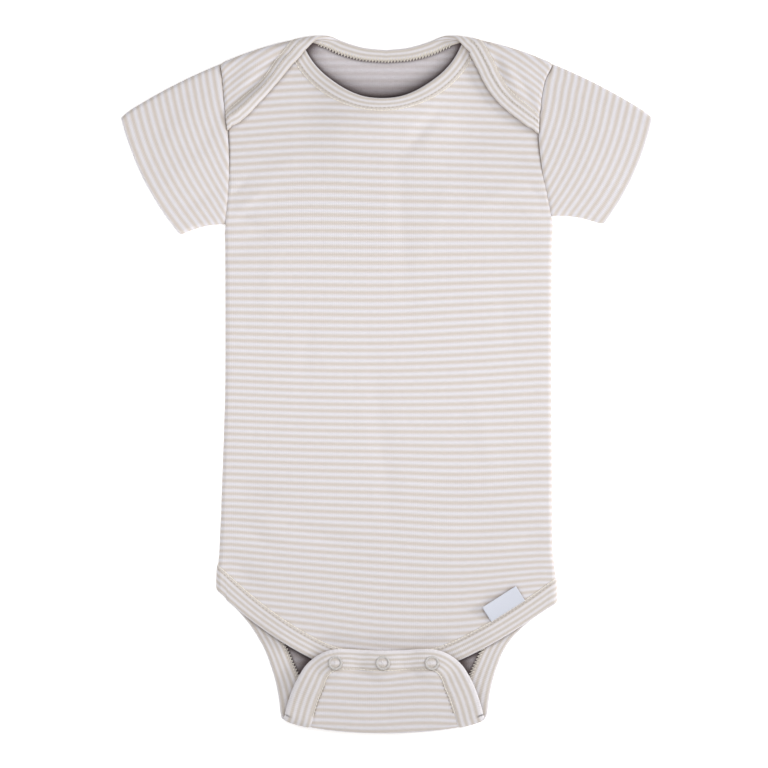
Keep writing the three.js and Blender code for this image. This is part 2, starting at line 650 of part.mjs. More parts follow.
// The middle surface once round: over the top fold, down the front, round the underarm and back up
function sleeveRing(sleeve, out) {
  const length = sleevePlan(sleeve, out, 0).distanceTo(sleevePlan(sleeve, out, 1));
  const edge = CLOTH / 2 + SLEEVE_ROUND + TIP_ROUND * ease((out - 0.88) / 0.12) ** 2;
  const frontAt = (down) => SLEEVE_FRONT + SLEEVE_SWELL * Math.sin(Math.PI * down) * Math.sin(Math.PI * out);
  const place = (distance, front, rise) => {
    const down = distance / length;
    const { x, y } = sleevePlan(sleeve, out, down);
    const reach = (front ? frontAt(down) : BACK_MID) - SIDE_SEAM;
    return new THREE.Vector3(x, y, SIDE_SEAM + reach * rise);
  };
  const atTop = (turn, front) => place(edge - SLEEVE_ROUND * Math.cos(turn), front, Math.sin(turn));
  const atUnder = (turn, front) =>
    place(length - edge + SLEEVE_ROUND * Math.cos(turn), front, Math.sin(turn));
  const flats = SLEEVE_FLATS.map((share) => mix(edge, length - edge, share));
  return [
    ...SLEEVE_TURNS.map((turn) => atTop(turn, true)),
    ...flats.map((distance) => place(distance, true, 1)),
    ...[...SLEEVE_TURNS].reverse().map((turn) => atUnder(turn, true)),
    ...SLEEVE_TURNS.slice(1).map((turn) => atUnder(turn, false)),
    ...[...flats].reverse().map((distance) => place(distance, false, 1)),
    ...SLEEVE_TURNS.slice(1).reverse().map((turn) => atTop(turn, false)),
  ];
}

function sleeveSolid(sleeve) {
  const middle = SLEEVE_OUTS.map((out) => sleeveRing(sleeve, out));
  const last = SLEEVE_OUTS.length - 1;
  const offset = (i, j, distance) => {
    const row = middle[i];
    const point = row[j].clone();
    if (Math.abs(point.z - BACK_MID) < 0.01) return point.setZ(point.z - distance);
    const round = row[(j + 1) % row.length].clone().sub(row[(j + row.length - 1) % row.length]);
    const along = middle[Math.min(i + 1, last)][j].clone().sub(middle[Math.max(i - 1, 0)][j]);
    const outward = round.cross(along).normalize().multiplyScalar(sleeve.sign);
    return point.addScaledVector(outward, distance);
  };
  const outer = middle.map((row, i) => row.map((_, j) => offset(i, j, CLOTH / 2)));
  const inner = middle.map((row, i) => {
    const hem = HEM_EXTRA * ease((SLEEVE_OUTS[i] - HEM_FROM + 0.02) / 0.04);
    return row.map((_, j) => offset(i, j, -CLOTH / 2 - hem));
  });
  return sleeve.sign > 0 ? closeShell(outer, inner, true) : closeShell(inner, outer, true);
}

// Snaps: a ring cap that shows the cloth in its hole, and the stud that it closes on
function snapCap() {
  const profile = [
    [0, 0], [SNAP_RADIUS - 0.3, 0], [SNAP_RADIUS, 0.25], [SNAP_RADIUS - 0.25, 0.75],
    [(SNAP_RADIUS + CAP_HOLE) / 2, CAP_HEIGHT], [CAP_HOLE + 0.2, 0.75], [CAP_HOLE, 0.4], [0, 0.4],
  ].map(([r, z]) => new THREE.Vector2(r, z));
  return new THREE.LatheGeometry(profile, 20).rotateX(QUARTER);
}

function snapStud(height) {
  const profile = [
    [0, 0], [SNAP_RADIUS - 0.4, 0], [SNAP_RADIUS - 0.4, 0.5], [CAP_HOLE + 0.4, 0.6],
    [CAP_HOLE + 0.2, height], [0, height],
  ].map(([r, z]) => new THREE.Vector2(r, z));
  return new THREE.LatheGeometry(profile, 16).rotateX(QUARTER);
}

// The folded label, from the leg band's seam up over the front
function sideLabel() {
  const grid = [];
  const columns = 6;
  const rows = 4;
  for (let i = 0; i < rows; i++) {
    const row = [];
    for (let j = 0; j < columns; j++) {
      const x = mix(LABEL.fromX, LABEL.toX, j / (columns - 1));
      const slope = (frontLegSeam(LABEL.toX) - frontLegSeam(LABEL.fromX)) / (LABEL.toX - LABEL.fromX);
      const length = Math.hypot(1, slope);
      const up = SEAM_GAP + (LABEL.depth * i) / (rows - 1);
      const base = mix(frontLegSeam(LABEL.fromX), frontLegSeam(LABEL.toX), j / (columns - 1));
      row.push([x - (slope / length) * up, base + up / length + 0.4]);
    }
    grid.push(row);
  }
  const low = CLOTH / 2 + SEAM_GAP;
  const face = (offset) =>
    grid.map((row, i) =>
      row.map(([x, y]) => {
        const point = frontSurface(x, y);
        point.z += offset + (LABEL.lift * i) / (rows - 1);
        return point;
      }),
    );
  return closeShell(face(low + LABEL.thickness), face(low));
}

const cloth = (colour, roughness = 0.9) =>
  new THREE.MeshStandardMaterial({ color: colour, roughness, metalness: 0 });
const JERSEY = cloth("#e3dcd6");
const TRIM = cloth("#dfd8d2");
const SNAP_WHITE = new THREE.MeshStandardMaterial({ color: "#eceef2", roughness: 0.35, metalness: 0 });
const LABEL_WHITE = cloth("#e9ebf2", 0.6);

function piece(name, geometry, material) {
  const mesh = new THREE.Mesh(geometry, material);
  mesh.name = name;
  return mesh;
}

const bodysuit = new THREE.Group();
bodysuit.add(piece("back_panel", clothWall(backSurface, BACK_GRID), JERSEY));
bodysuit.add(piece("front_panel", frontPanel(), JERSEY));
for (const sleeve of SLEEVES) {
  bodysuit.add(piece(`sleeve_${sleeve.side}`, sleeveSolid(sleeve), JERSEY));
}
bodysuit.add(piece("front_neck_binding", frontNeckBinding(), TRIM));
bodysuit.add(piece("back_neck_binding", backNeckBinding(), TRIM));
bodysuit.add(piece("front_leg_band", frontLegBand(), TRIM));
bodysuit.add(piece("back_leg_band", backLegBand(), TRIM));
bodysuit.add(piece("side_label", sideLabel(), LABEL_WHITE));

const snaps = new THREE.Group();
SNAPS.forEach(({ x }, k) => {
  const tailTop = tailHeight(x, SNAP_Y) + BINDING / 2;
  const frontTop = frontHeight(x, SNAP_Y) + BINDING / 2;
  const cap = piece(`snap_cap_${k + 1}`, snapCap(), SNAP_WHITE);
  cap.position.set(x, SNAP_Y, tailTop + SEAM_GAP / 2);
  const room = tailTop - BINDING - frontTop - 2 * SEAM_GAP;
  const stud = piece(`snap_stud_${k + 1}`, snapStud(room), SNAP_WHITE);
  stud.position.set(x, SNAP_Y, frontTop + SEAM_GAP);
  snaps.add(cap, stud);
});
bodysuit.add(snaps);

export default bodysuit;
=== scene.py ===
# %% [markdown]
# # A baby's bodysuit, laid flat
# This lesson dresses the plain solids of a small striped bodysuit. The real one is cut from fine cotton
# jersey: a front, a back that laps over the shoulders and snaps up over the crotch, two short sleeves, and
# strips of the same cloth that bind the neck and the legs. The solids are loaded first, as a fixed frame.
# Every piece of this scene is then built in the place of its own solid, at its real size.

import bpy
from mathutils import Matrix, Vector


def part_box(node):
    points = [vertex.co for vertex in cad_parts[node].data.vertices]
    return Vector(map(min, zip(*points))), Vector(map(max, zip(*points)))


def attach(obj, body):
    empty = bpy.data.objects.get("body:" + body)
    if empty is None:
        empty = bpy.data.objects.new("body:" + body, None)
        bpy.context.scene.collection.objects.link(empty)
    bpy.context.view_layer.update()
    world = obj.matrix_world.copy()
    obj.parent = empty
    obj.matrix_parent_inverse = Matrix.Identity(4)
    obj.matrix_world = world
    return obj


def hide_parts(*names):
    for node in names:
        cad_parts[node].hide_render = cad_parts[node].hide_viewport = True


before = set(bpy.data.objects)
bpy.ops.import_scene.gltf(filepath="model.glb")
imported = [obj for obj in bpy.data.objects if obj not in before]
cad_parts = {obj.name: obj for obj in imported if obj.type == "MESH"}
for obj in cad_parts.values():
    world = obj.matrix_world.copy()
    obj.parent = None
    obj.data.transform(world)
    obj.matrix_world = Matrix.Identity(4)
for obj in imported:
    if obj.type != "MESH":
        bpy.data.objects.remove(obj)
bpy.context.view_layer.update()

# %% [markdown]
# The camera hangs straight above the garment, because it is shown from above on a pale surface. A long lens
# from two metres keeps its edges free of perspective. The frame is square and 461 mm wide.

# %% Camera
import math

import bpy
import numpy as np

MM = 0.001
VIEW_WIDTH = 460.8 * MM
VIEW_CENTRE = (-1.5 * MM, 0.45 * MM)
CAMERA_HEIGHT = 2.2
SENSOR = 36

camera = bpy.data.objects.new("camera", bpy.data.cameras.new("camera"))
camera.data.sensor_width = SENSOR
camera.data.lens = SENSOR * CAMERA_HEIGHT / VIEW_WIDTH
camera.location = (*VIEW_CENTRE, CAMERA_HEIGHT)
bpy.context.scene.collection.objects.link(camera)
bpy.context.scene.camera = camera
print("lens", round(camera.data.lens, 1), "mm")

# %% [markdown]
# Colours are written as a designer writes them, in sRGB hex, and one function turns them to the linear
# values that the renderer uses. A second small function adds a shader node, sets its values and links
# its inputs. Everything else about a material is then a plain list of nodes.

# %% Colour and node helpers
def linear(hex_colour):
    """An sRGB hex colour as linear red, green, blue and alpha."""
    shares = [int(hex_colour[i : i + 2], 16) / 255 for i in (1, 3, 5)]
    return [s / 12.92 if s <= 0.04045 else ((s + 0.055) / 1.055) ** 2.4 for s in shares] + [1.0]


def node(tree, kind, inputs=None, **settings):
    """Adds a node. An input is a value, or another node's output that is linked to it."""
    made = tree.nodes.new(kind)
    for name, value in settings.items():
        setattr(made, name, value)
    for socket, value in (inputs or {}).items():
        if isinstance(value, bpy.types.NodeSocket):
            tree.links.new(value, made.inputs[socket])
        else:
            made.inputs[socket].default_value = value
    return made


def new_material(name):
    """An empty material, its node tree and its output node."""
    material = bpy.data.materials.new(name)
    material.use_nodes = True
    material.node_tree.nodes.clear()
    return material, material.node_tree, node(material.node_tree, "ShaderNodeOutputMaterial")


print("beige yarn in linear values:", [round(v, 3) for v in linear("#D9CFC4")])

# %% [markdown]
# The garment lies on a light table, a sheet of opal acrylic that glows a little from below, so that no
# shadow falls on the white. A long soft box hangs close above the middle, and so its light fades towards
# the shoulders and the crotch. Far boxes, low on the right and at the foot, graze the cloth and draw its
# creases. The view transform is the plain one, so that a white cloth stays as white as it is.

# %% Floor and light
floor_material, tree, output = new_material("opal_acrylic_sheet")
grain = node(tree, "ShaderNodeTexNoise", {"Scale": 300.0, "Detail": 3.0})
bump = node(tree, "ShaderNodeBump", {"Strength": 0.04, "Distance": 0.0002, "Height": grain.outputs["Fac"]})
sheet = node(tree, "ShaderNodeBsdfPrincipled", {
    "Base Color": linear("#FBFBFB"), "Roughness": 0.8, "IOR": 1.49, "Normal": bump.outputs["Normal"],
    "Emission Color": linear("#FFFFFF"), "Emission Strength": 0.45})
tree.links.new(sheet.outputs["BSDF"], output.inputs["Surface"])

FLOOR_HALF = 3.0
mesh = bpy.data.meshes.new("floor")
mesh.from_pydata(
    [(x * FLOOR_HALF, y * FLOOR_HALF, -0.1 * MM) for x, y in ((-1, -1), (1, -1), (1, 1), (-1, 1))],
    [], [(0, 1, 2, 3)])
mesh.materials.append(floor_material)
floor = bpy.data.objects.new("floor", mesh)
bpy.context.scene.collection.objects.link(floor)

WORLD_STRENGTH = 0.4
world = bpy.data.worlds.new("white_studio")
world.use_nodes = True
world.node_tree.nodes["Background"].inputs["Color"].default_value = linear("#FFFFFF")
world.node_tree.nodes["Background"].inputs["Strength"].default_value = WORLD_STRENGTH
bpy.context.scene.world = world
bpy.context.scene.view_settings.view_transform = "Standard"

SOFT_BOXES = [
    {"name": "overhead", "place": (0.0, 0.05, 0.45), "size": (1.0, 0.1), "watts": 1.8},
    {"name": "right", "place": (2.4, 0.3, 0.8), "size": (1.0, 0.5), "watts": 36.0},
    {"name": "foot", "place": (-0.2, -2.4, 0.8), "size": (1.6, 0.5), "watts": 14.0},
]
for box in SOFT_BOXES:
    lamp = bpy.data.lights.new(f"soft_box_{box['name']}", "AREA")
    lamp.shape = "RECTANGLE"
    lamp.size, lamp.size_y = box["size"]
    lamp.energy = box["watts"]
    light = bpy.data.objects.new(lamp.name, lamp)
    light.location = box["place"]
    from_centre = np.array(box["place"]) / np.linalg.norm(box["place"])
    light.rotation_mode = "QUATERNION"
    light.rotation_quaternion = Vector(from_centre).to_track_quat("Z", "Y")
    bpy.context.scene.collection.objects.link(light)
print("lights:", len(SOFT_BOXES), "and a world of strength", WORLD_STRENGTH)

# %% [markdown]
# The cloth could be simulated, but a garment pressed flat hardly drapes: what shows is its cut, its folds
# over the shoulders and the crotch, and small creases. So each panel is a surface worked out from the cut.
# These first helpers blend values and read a short table as a smooth curve, for many places at once.

# %% Blending and reading tables
QUARTER = math.pi / 2


def ease(value):
    """0 below 0, 1 above 1, and a soft step between them."""
    share = np.clip(value, 0, 1)
    return share * share * (3 - 2 * share)


def mix(low, high, share):
    return low + (high - low) * share


def curve(keys, values, at):
    """A smooth curve through a value at each key, held level past both ends. A value may be an array."""
    before, after = np.r_[0, 0 : len(keys) - 1], np.r_[1 : len(keys), len(keys) - 1]
    slope = ((values[after] - values[before]).T / (keys[after] - keys[before])).T
    at = np.clip(at, keys[0], keys[-1])
    k = np.clip(np.searchsorted(keys, at, side="right") - 1, 0, len(keys) - 2)

    def pick(rows, row):
        return rows[row] if rows.ndim == 1 else np.take_along_axis(rows, row[None], 0)[0]

    width = keys[k + 1] - keys[k]
    t = (at - keys[k]) / width
    s = 1 - t
    return (pick(values, k) * (1 + 2 * t) * s * s + pick(slope, k) * width * t * s * s
            + pick(values, k + 1) * t * t * (3 - 2 * t) - pick(slope, k + 1) * width * t * t * s)


def read(table, key, column, at):
    """A column of a table as a smooth curve through its rows."""
    keys, values = np.array(table[key], float), np.array(table[column], float)
    if keys[0] > keys[-1]:
        keys, values = keys[::-1], values[::-1]
    return curve(keys, values, at)


def by_side(table, key, x, at):
    """Reads the table's left column where x is below 0, and its right column elsewhere."""
    return np.where(x < 0, read(table, key, "left", at), read(table, key, "right", at))


print("a soft step at a third:", round(float(ease(1 / 3)), 3))

# %% [markdown]
# The cut is the same as that of the solids. X runs across the garment, Y from crotch to neck, and Z up from
# the surface it lies on, all in millimetres. The side outline, the shoulder fold and the crotch fold come
# first, because every other edge is measured from them.

# %% Outline of the body
CLOTH = 1.2  # wall of one layer, with its loft
BINDING = 2.2  # thickness of a folded binding
BACK_MID = CLOTH / 2  # the back's middle surface
SIDE_SEAM = 2.5  # height at which front and back meet
EDGE_ROUND = 2.2  # how far in from the side the cloth starts to turn over
BODY = {
    "y": [215, 192, 182, 165, 148, 130, 113, 98, 80, 0, -50, -100, -113, -125, -150],
    "left": [100.5, 99.9, 98.8, 97.3, 95.6, 94.9, 95.5, 97, 96.7, 96.7, 98.2, 100.2, 101.4, 101.8, 101.8],
    "right": [101.5, 99.9, 95.6, 92.7, 91.9, 93.8, 97.1, 99.6, 99.2, 99, 99.2, 99.6, 101.2, 101.8, 101.8],
}
ARMHOLE_BOTTOM = {"left": 96.0, "right": 101.0}
UNDERARM_CLOSES = 9  # length over which the side seam closes below the armhole


def body_half(x, y):
    return by_side(BODY, "y", x, y)


def turn_start(x, y):
    """Distance from the middle at which the cloth starts to turn round the side."""
    return body_half(x, y) - CLOTH / 2 - EDGE_ROUND


def full_reach(x, y):
    return turn_start(x, y) + EDGE_ROUND * QUARTER


def closure(x, y):
    """1 where front and back are joined at the side, 0 along the armhole."""
    bottom = np.where(np.asarray(x) < 0, ARMHOLE_BOTTOM["left"], ARMHOLE_BOTTOM["right"])
    return ease((bottom - y) / UNDERARM_CLOSES)


SHOULDER = {"top": 208.8, "at": 43, "fall": 0.126, "bow": 0.00287, "bend": 2.35}
CROTCH = {"bottom": -209, "half": 61, "rise": 6.2, "corner": 2.6, "bend": 2.5, "shift": -1.5}


def shoulder_line(x):
    out = np.maximum(0, np.abs(x) - SHOULDER["at"])
    return SHOULDER["top"] - SHOULDER["fall"] * out - SHOULDER["bow"] * out**2


def shoulder_bend_start(x):
    return shoulder_line(x) - SHOULDER["bend"] - CLOTH / 2


def crotch_bend_start(x):
    share = np.minimum(1.2, np.abs(x - CROTCH["shift"]) / CROTCH["half"])
    line = CROTCH["bottom"] + CROTCH["rise"] * share**2 + CROTCH["corner"] * share**6
    return line + CROTCH["bend"] + CLOTH / 2


TAIL_SUM = 2 * crotch_bend_start(CROTCH["shift"]) - math.pi * CROTCH["bend"]
print("shoulder fold at", shoulder_line(43), "and crotch fold at", CROTCH["bottom"])

# %% [markdown]
# The front's edges are its neckline, an ellipse, and its leg edge, which is level over the crotch and then
# climbs to each hip. The back's edges are the neck seam, which runs on over the shoulder and down the lap,
# and the leg seam, which runs down to the rounded end of the crotch tail. "run" is a distance along the
# back's own cloth, so the same number counts on past a fold.

# %% Edges of the panels
NECK = {"x": -2.5, "y": 220.8, "across": 59.7, "down": 56.7, "binding": 7.3, "wider": 1.7}
FRONT_UNDER_LAP = 5
FRONT_CROTCH = {"y": -159, "half": 28, "slope": 0.42, "bow": 0.0031, "soften": 3}
LEG_TILT = -4
BACK_NECK = {"x": [0, 14.7, 28, 36.4], "run": [193.4, 194.6, 198.2, 202.0]}
OVER_SHOULDER = {"x": [44.5, 51, 57.2], "share": [-0.12, 0.26, 0.66]}
LAP_SEAM = {
    "x": [61, 64, 68, 72, 77, 84, 91.5, 100],
    "left": [201.6, 198.2, 192.6, 186.6, 180.3, 174.2, 167.8, 160.8],
    "right": [200.4, 194.4, 186.0, 179.6, 174.0, 168.2, 161.8, 154.5],
}
TAIL = {
    "run": [-110, -113.5, -118, -127, -140, -153, -166, -179, -191.5, -205, -216, -229.7, -241.5, -248.5],
    "half": [101.8, 98.5, 93, 82, 69.5, 61, 54.8, 49.3, 45.8, 44.2, 43, 39.2, 34.6, 33.5],
    "band": [12, 12, 12, 12, 12, 12, 13, 15, 16.5, 17, 17, 17, 16, 12.3],
}
TAIL_CORNER = 7


def leg_tilt(x):
    return LEG_TILT * (x / 100) ** 3


def pulled(x):
    """How far an edge between the legs is drawn towards the neck by the closed snaps."""
    return 0.5 * np.cos((x + 29) / 27 * math.pi) * ease((45 - np.abs(x)) / 15)


def front_leg_seam(x):
    past = np.abs(x) - FRONT_CROTCH["half"]
    out = (past + np.hypot(past, FRONT_CROTCH["soften"])) / 2
    straight = FRONT_CROTCH["y"] + FRONT_CROTCH["slope"] * out + FRONT_CROTCH["bow"] * out**2 + leg_tilt(x)
    return straight + 0.8 * pulled(x - 3)


def front_top_edge(x, tuck=0):
    """The neckline, and the front's shoulder under the lap. tuck takes it further into the binding."""
    share = np.minimum(1, np.abs(x - NECK["x"]) / (NECK["across"] - tuck))
    neckline = NECK["y"] - (NECK["down"] - tuck) * np.sqrt(1 - share * share)
    return np.minimum(neckline, shoulder_line(x) - FRONT_UNDER_LAP)


def back_top_table():
    """The back's upper edge by distance from the middle, along the cloth, for both sides."""
    bend = math.pi * SHOULDER["bend"]
    over = [shoulder_bend_start(x) + s * bend for x, s in zip(OVER_SHOULDER["x"], OVER_SHOULDER["share"])]
    table = {"x": BACK_NECK["x"] + OVER_SHOULDER["x"] + LAP_SEAM["x"]}
    for side in ("left", "right"):
        lap = [2 * shoulder_bend_start(x) + bend - y for x, y in zip(LAP_SEAM["x"], LAP_SEAM[side])]
        table[side] = BACK_NECK["run"] + over + lap
    return table


BACK_TOP = back_top_table()
print("back's edge runs from", BACK_TOP["left"][0], "to", round(float(BACK_TOP["left"][-1]), 1), "mm")

# %% [markdown]
# Creases give flat cloth its life. Each one is a soft trough or ridge: a bell curve that is longer than it is
# wide, turned by a few degrees. The large ones lie about where those of the solids do. They are deeper,
# the long one in the middle is in two parts, and four are added. The small ones gather where real cloth
# does it: at the armpits, on the laps, over the hips and beside the snaps.

# %% Creases
LARGE_CREASES = {
    "x": [80, 76, 60, 87, -83, -38, 56, 77, 21, -27, 9, -3, -84, -56, 36, -72, -78, -85],
    "y": [-54, -70, -84, -92, -64, -91, 148, 136, 152, 165, 100, -34, 99, -132, -59, -80, -90, -115],
    "long": [22, 32, 24, 11, 14, 22, 14, 13, 18, 22, 46, 46, 12, 16, 14, 12, 9, 14],
    "wide": [5, 7, 5, 4, 7, 5, 4, 4, 4, 6, 5, 5.5, 3.4, 5, 4.5, 5, 4, 7],
    "turn": [0, -1, 3, 12, -5, -12, -20, -22, 51, -15, 93, 96, -28, -34, -3, -15, -20, -45],
    "rise": [-0.9, 0.9, -1.0, -0.8, -1.0, -0.9, -1.0, -0.9, -0.8, -1.6, -0.5, -0.5, -0.9, -0.6, -0.6, 0.6,
             -0.7, -0.8],
}
SMALL_CREASES = {
    "x": [-88, -82, -76, 88, 84, 74, 90, -90, 64, 40, -60, -14, 30, -70, 72, 45, 24, -25, -48, 58],
    "y": [118, 110, 90, 116, 104, 92, 76, 78, 112, 128, 132, 140, 100, 60, 40, 8, -20, -50, 20, -30],
    "long": [9, 13, 14, 9, 13, 14, 12, 12, 18, 15, 16, 20, 26, 22, 20, 30, 34, 30, 24, 26],
    "wide": [2.2, 2.6, 3.2, 2.2, 2.8, 3.4, 3, 3, 4, 3.6, 4, 4.5, 5, 5, 4.6, 6, 6, 6, 5, 5],
    "turn": [48, 40, 22, -52, -38, -20, -8, 10, 30, -28, 24, -12, 70, 84, -80, 8, -6, 5, 88, -76],
    "rise": [-0.5, 0.45, -0.45, -0.5, 0.45, -0.45, 0.4, -0.4, 0.35, -0.4, 0.35, -0.4,
             0.3, 0.3, -0.3, 0.3, -0.3, 0.25, -0.3, 0.3],
}
LAP_CREASES = {
    "x": [-79, -80, -90, -66, 68, 81, 76, 90, 58, -56],
    "y": [180, 171, 163, 196, 189, 180, 186, 168, 203, 203],
    "long": [12, 12, 7, 11, 12, 14, 12, 8, 7, 7],
    "wide": [3.4, 3.6, 2.4, 2.6, 2.6, 2.6, 3, 2.2, 2.2, 2.2],
    "turn": [44, 40, 40, 34, -67, -57, -60, -50, -20, 22],
    "rise": [-1.5, 1.2, 0.9, -1.0, -1.3, -1.4, 1.1, 1.1, 0.8, 0.6],
}
TAIL_CREASES = {
    "x": [-17, 12, -16, 13, -34, 33, 0, -20, 22, -2],
    "y": [-163, -164, -169, -170, -172, -172, -178, -196, -194, -203],
    "long": [9, 9, 9, 9, 6, 6, 24, 14, 14, 26],
    "wide": [1.6, 1.6, 1.3, 1.3, 3, 3, 3, 4, 4, 4],
    "turn": [8, -8, 0, 0, 60, -60, 0, -14, 12, 2],
    "rise": [0.4, 0.4, -0.6, -0.6, -0.3, -0.3, -0.7, 0.5, 0.5, -0.4],
}


def crease_rise(table, x, y):
    rise = 0.0 * x
    for k in range(len(table["x"])):
        turn = math.radians(table["turn"][k])
        dx, dy = x - table["x"][k], y - table["y"][k]
        along = (dx * math.cos(turn) + dy * math.sin(turn)) / table["long"][k]
        across = (dy * math.cos(turn) - dx * math.sin(turn)) / table["wide"][k]
        rise = rise + table["rise"][k] * np.exp(-(along**2) - across**2)
    return rise


def ripple(along, seed=0.0):
    """Uneven puckers along a seam, between about -1 and 1, for a distance along it in millimetres."""
    return (np.sin(along * 1.13 + seed) + 0.7 * np.sin(along * 0.71 + 2 * seed + 1.3)
            + 0.5 * np.sin(along * 1.93 + 3 * seed + 0.4)) / 2.2


print("creases:", sum(len(t["x"]) for t in (LARGE_CREASES, SMALL_CREASES, LAP_CREASES, TAIL_CREASES)))

# %% [markdown]
# The front lies on the back, a few millimetres up, and sinks where the laps and the crotch tail lie on it.
# At the side its cloth turns down to meet the back. Along the armhole it is sewn to the sleeve, and a
# seam draws both cloths down into a narrow groove, which reads as the thin dark line of the seam.

# %% Surface of the front
FRONT_AT_SIDE = 4.2
FRONT_SWELL = 0.5
UNDER_LAP = {"drop": 1.9, "from_y": 112, "over_y": 50, "from_x": 22, "over_x": 28}
UNDER_TAIL = {"drop": 1.45, "from_y": -138, "over_y": 18, "from_x": 66, "over_x": 26}
GROOVE_DEEP, GROOVE_WIDE = 0.6, 0.9
PUCKER = 0.16
NECK_STANDS = {"rise": 3.6, "y": 166, "over_x": 34, "over_y": 17}  # the neckline stands up from the back


def front_height(x, y):
    out = np.abs(x)
    swell = FRONT_SWELL * (1 - np.clip(out / 98, 0, 1) ** 2)
    under_lap = (UNDER_LAP["drop"] * ease((y - UNDER_LAP["from_y"]) / UNDER_LAP["over_y"])
                 * ease((out - UNDER_LAP["from_x"]) / UNDER_LAP["over_x"]))
    under_tail = (UNDER_TAIL["drop"] * ease((UNDER_TAIL["from_y"] - y) / UNDER_TAIL["over_y"])
                  * ease((UNDER_TAIL["from_x"] - out) / UNDER_TAIL["over_x"]))
    stands = NECK_STANDS["rise"] * np.exp(-(((x - NECK["x"]) / NECK_STANDS["over_x"]) ** 2)
                                          - ((y - NECK_STANDS["y"]) / NECK_STANDS["over_y"]) ** 2)
    creased = crease_rise(LARGE_CREASES, x, y) + crease_rise(SMALL_CREASES, x, y) + stands
    above_tail = ease((y - UNDER_TAIL["from_y"] - 6) / 16)
    return FRONT_AT_SIDE + swell - under_lap - under_tail + creased * above_tail


def side_turn(x, y, height, meet):
    """Rounds a layer at the side: its place across, and its height, which closes on the side seam."""
    start = turn_start(x, y)
    closed = closure(x, y)
    turn = np.maximum(0, np.abs(x) - start) / EDGE_ROUND
    out = np.minimum(np.abs(x), start) + EDGE_ROUND * mix(turn / QUARTER, np.sin(turn), closed)
    to_seam = body_half(x, y) - CLOTH / 2 - out
    groove = (1 - closed) * GROOVE_DEEP * np.exp(-((to_seam / GROOVE_WIDE) ** 2))
    puckers = (1 - closed) * PUCKER * ripple(y * 1.2, 2.0) * np.exp(-to_seam / 5)
    return np.sign(x) * out, height + closed * (meet - height) * (1 - np.cos(turn)), groove, puckers


def front_surface(x, y):
    x, y = np.broadcast_arrays(np.asarray(x, float), np.asarray(y, float))
    height = front_height(x, y)
    across, z, groove, puckers = side_turn(x, y, height, SIDE_SEAM)
    return np.stack([across, y, z - groove + puckers], -1)


print("front over the chest:", np.round(front_surface(0, 100), 2))

# %% [markdown]
# The back lies on the floor. Past the shoulder fold the same cloth comes back down over the front as the
# lap, and past the crotch fold it comes up over the front as the tail. One function follows the cloth all
# the way, so the stripes will turn with it. The tail rises a little over each closed snap.

# %% Surface of the back, the laps and the tail
TAIL_DIP, TAIL_END_RISE = 0.6, 0.6
SNAP_AT = {"x": [-30.6, -2.2, 27.2], "y": -166.2}
SNAP_FLAT, SNAP_FADE, SNAP_LIFT = 5.4, 8, 1.0
LAP_SETTLES = 0.8  # the lap comes down by this much towards the armhole


def snap_lift(x, y):
    away = np.min([np.hypot(x - sx, y - SNAP_AT["y"]) for sx in SNAP_AT["x"]], axis=0)
    return SNAP_LIFT * ease(1 - (away - SNAP_FLAT) / SNAP_FADE)


def tail_height(x, y):
    up = y - crotch_bend_start(x)
    dip = TAIL_DIP * ease(up / 10) * (1 - ease((up - 12) / 14))
    end = TAIL_END_RISE * ease((y + 190) / 16)
    snapped = snap_lift(x, y)
    creased = crease_rise(TAIL_CREASES, x, y) * ease(up / 8) * (1 - snapped / SNAP_LIFT)
    return BACK_MID + 2 * CROTCH["bend"] - dip + end + snapped + creased


def back_surface(x, run):
    x, run = np.broadcast_arrays(np.asarray(x, float), np.asarray(run, float))
    shoulder, crotch = shoulder_bend_start(x), crotch_bend_start(x)
    bend = SHOULDER["bend"]
    past = np.maximum(0, run - shoulder)
    turn = np.minimum(past / bend, math.pi)
    lap = np.maximum(0, past - math.pi * bend)
    y = np.minimum(run, shoulder) + bend * np.sin(turn) - lap
    z = BACK_MID + bend * (1 - np.cos(turn))
    on_lap = ease(lap / 8)
    z = z + on_lap * (crease_rise(LAP_CREASES, x, y) - LAP_SETTLES * ease((np.abs(x) - 80) / 14))

    tail_turn = math.pi * np.maximum(0, crotch - run) / (2 * crotch - TAIL_SUM)
    in_fold, on_tail = tail_turn > 0, tail_turn >= math.pi
    y = np.where(in_fold, crotch - CROTCH["bend"] * np.sin(tail_turn), y)
    z = np.where(in_fold, BACK_MID + CROTCH["bend"] * (1 - np.cos(tail_turn)), z)
    y = np.where(on_tail, TAIL_SUM - run + pulled(x) * ease((TAIL_SUM - run + 190) / 20), y)
    z = np.where(on_tail, tail_height(x, y), z)

    across, closed_z, groove, puckers = side_turn(x, y, z, SIDE_SEAM)
    lifted = ease((z - BACK_MID) / 3)  # only the lap is drawn into the armhole's groove from above
    return np.stack([across, y, closed_z - lifted * (groove - puckers)], -1)


print("lap beside the neck:", np.round(back_surface(60, 212), 2))

# %% [markdown]
# A wall of cloth is two copies of a surface, moved out to both sides along its normals, with a rim between
# them. The UV map doesn't hold a picture. Its U is the distance along the stripes in millimetres and its V
# counts stripes, so a material can draw them on the cloth, however the cloth is folded.

# %% Walls of cloth
STEP = 0.02  # for slopes taken by difference
TURNED = [0, 3, 2, 1]  # a face's corners taken the other way round


def normals_of(surface, a, b):
    """Unit normals of a surface, and its slopes across and along."""
    across = (surface(a + STEP, b) - surface(a - STEP, b)) / (2 * STEP)
    along = (surface(a, b + STEP) - surface(a, b - STEP)) / (2 * STEP)
    normal = np.cross(across, along)
    return normal / np.linalg.norm(normal, axis=-1, keepdims=True), across, along


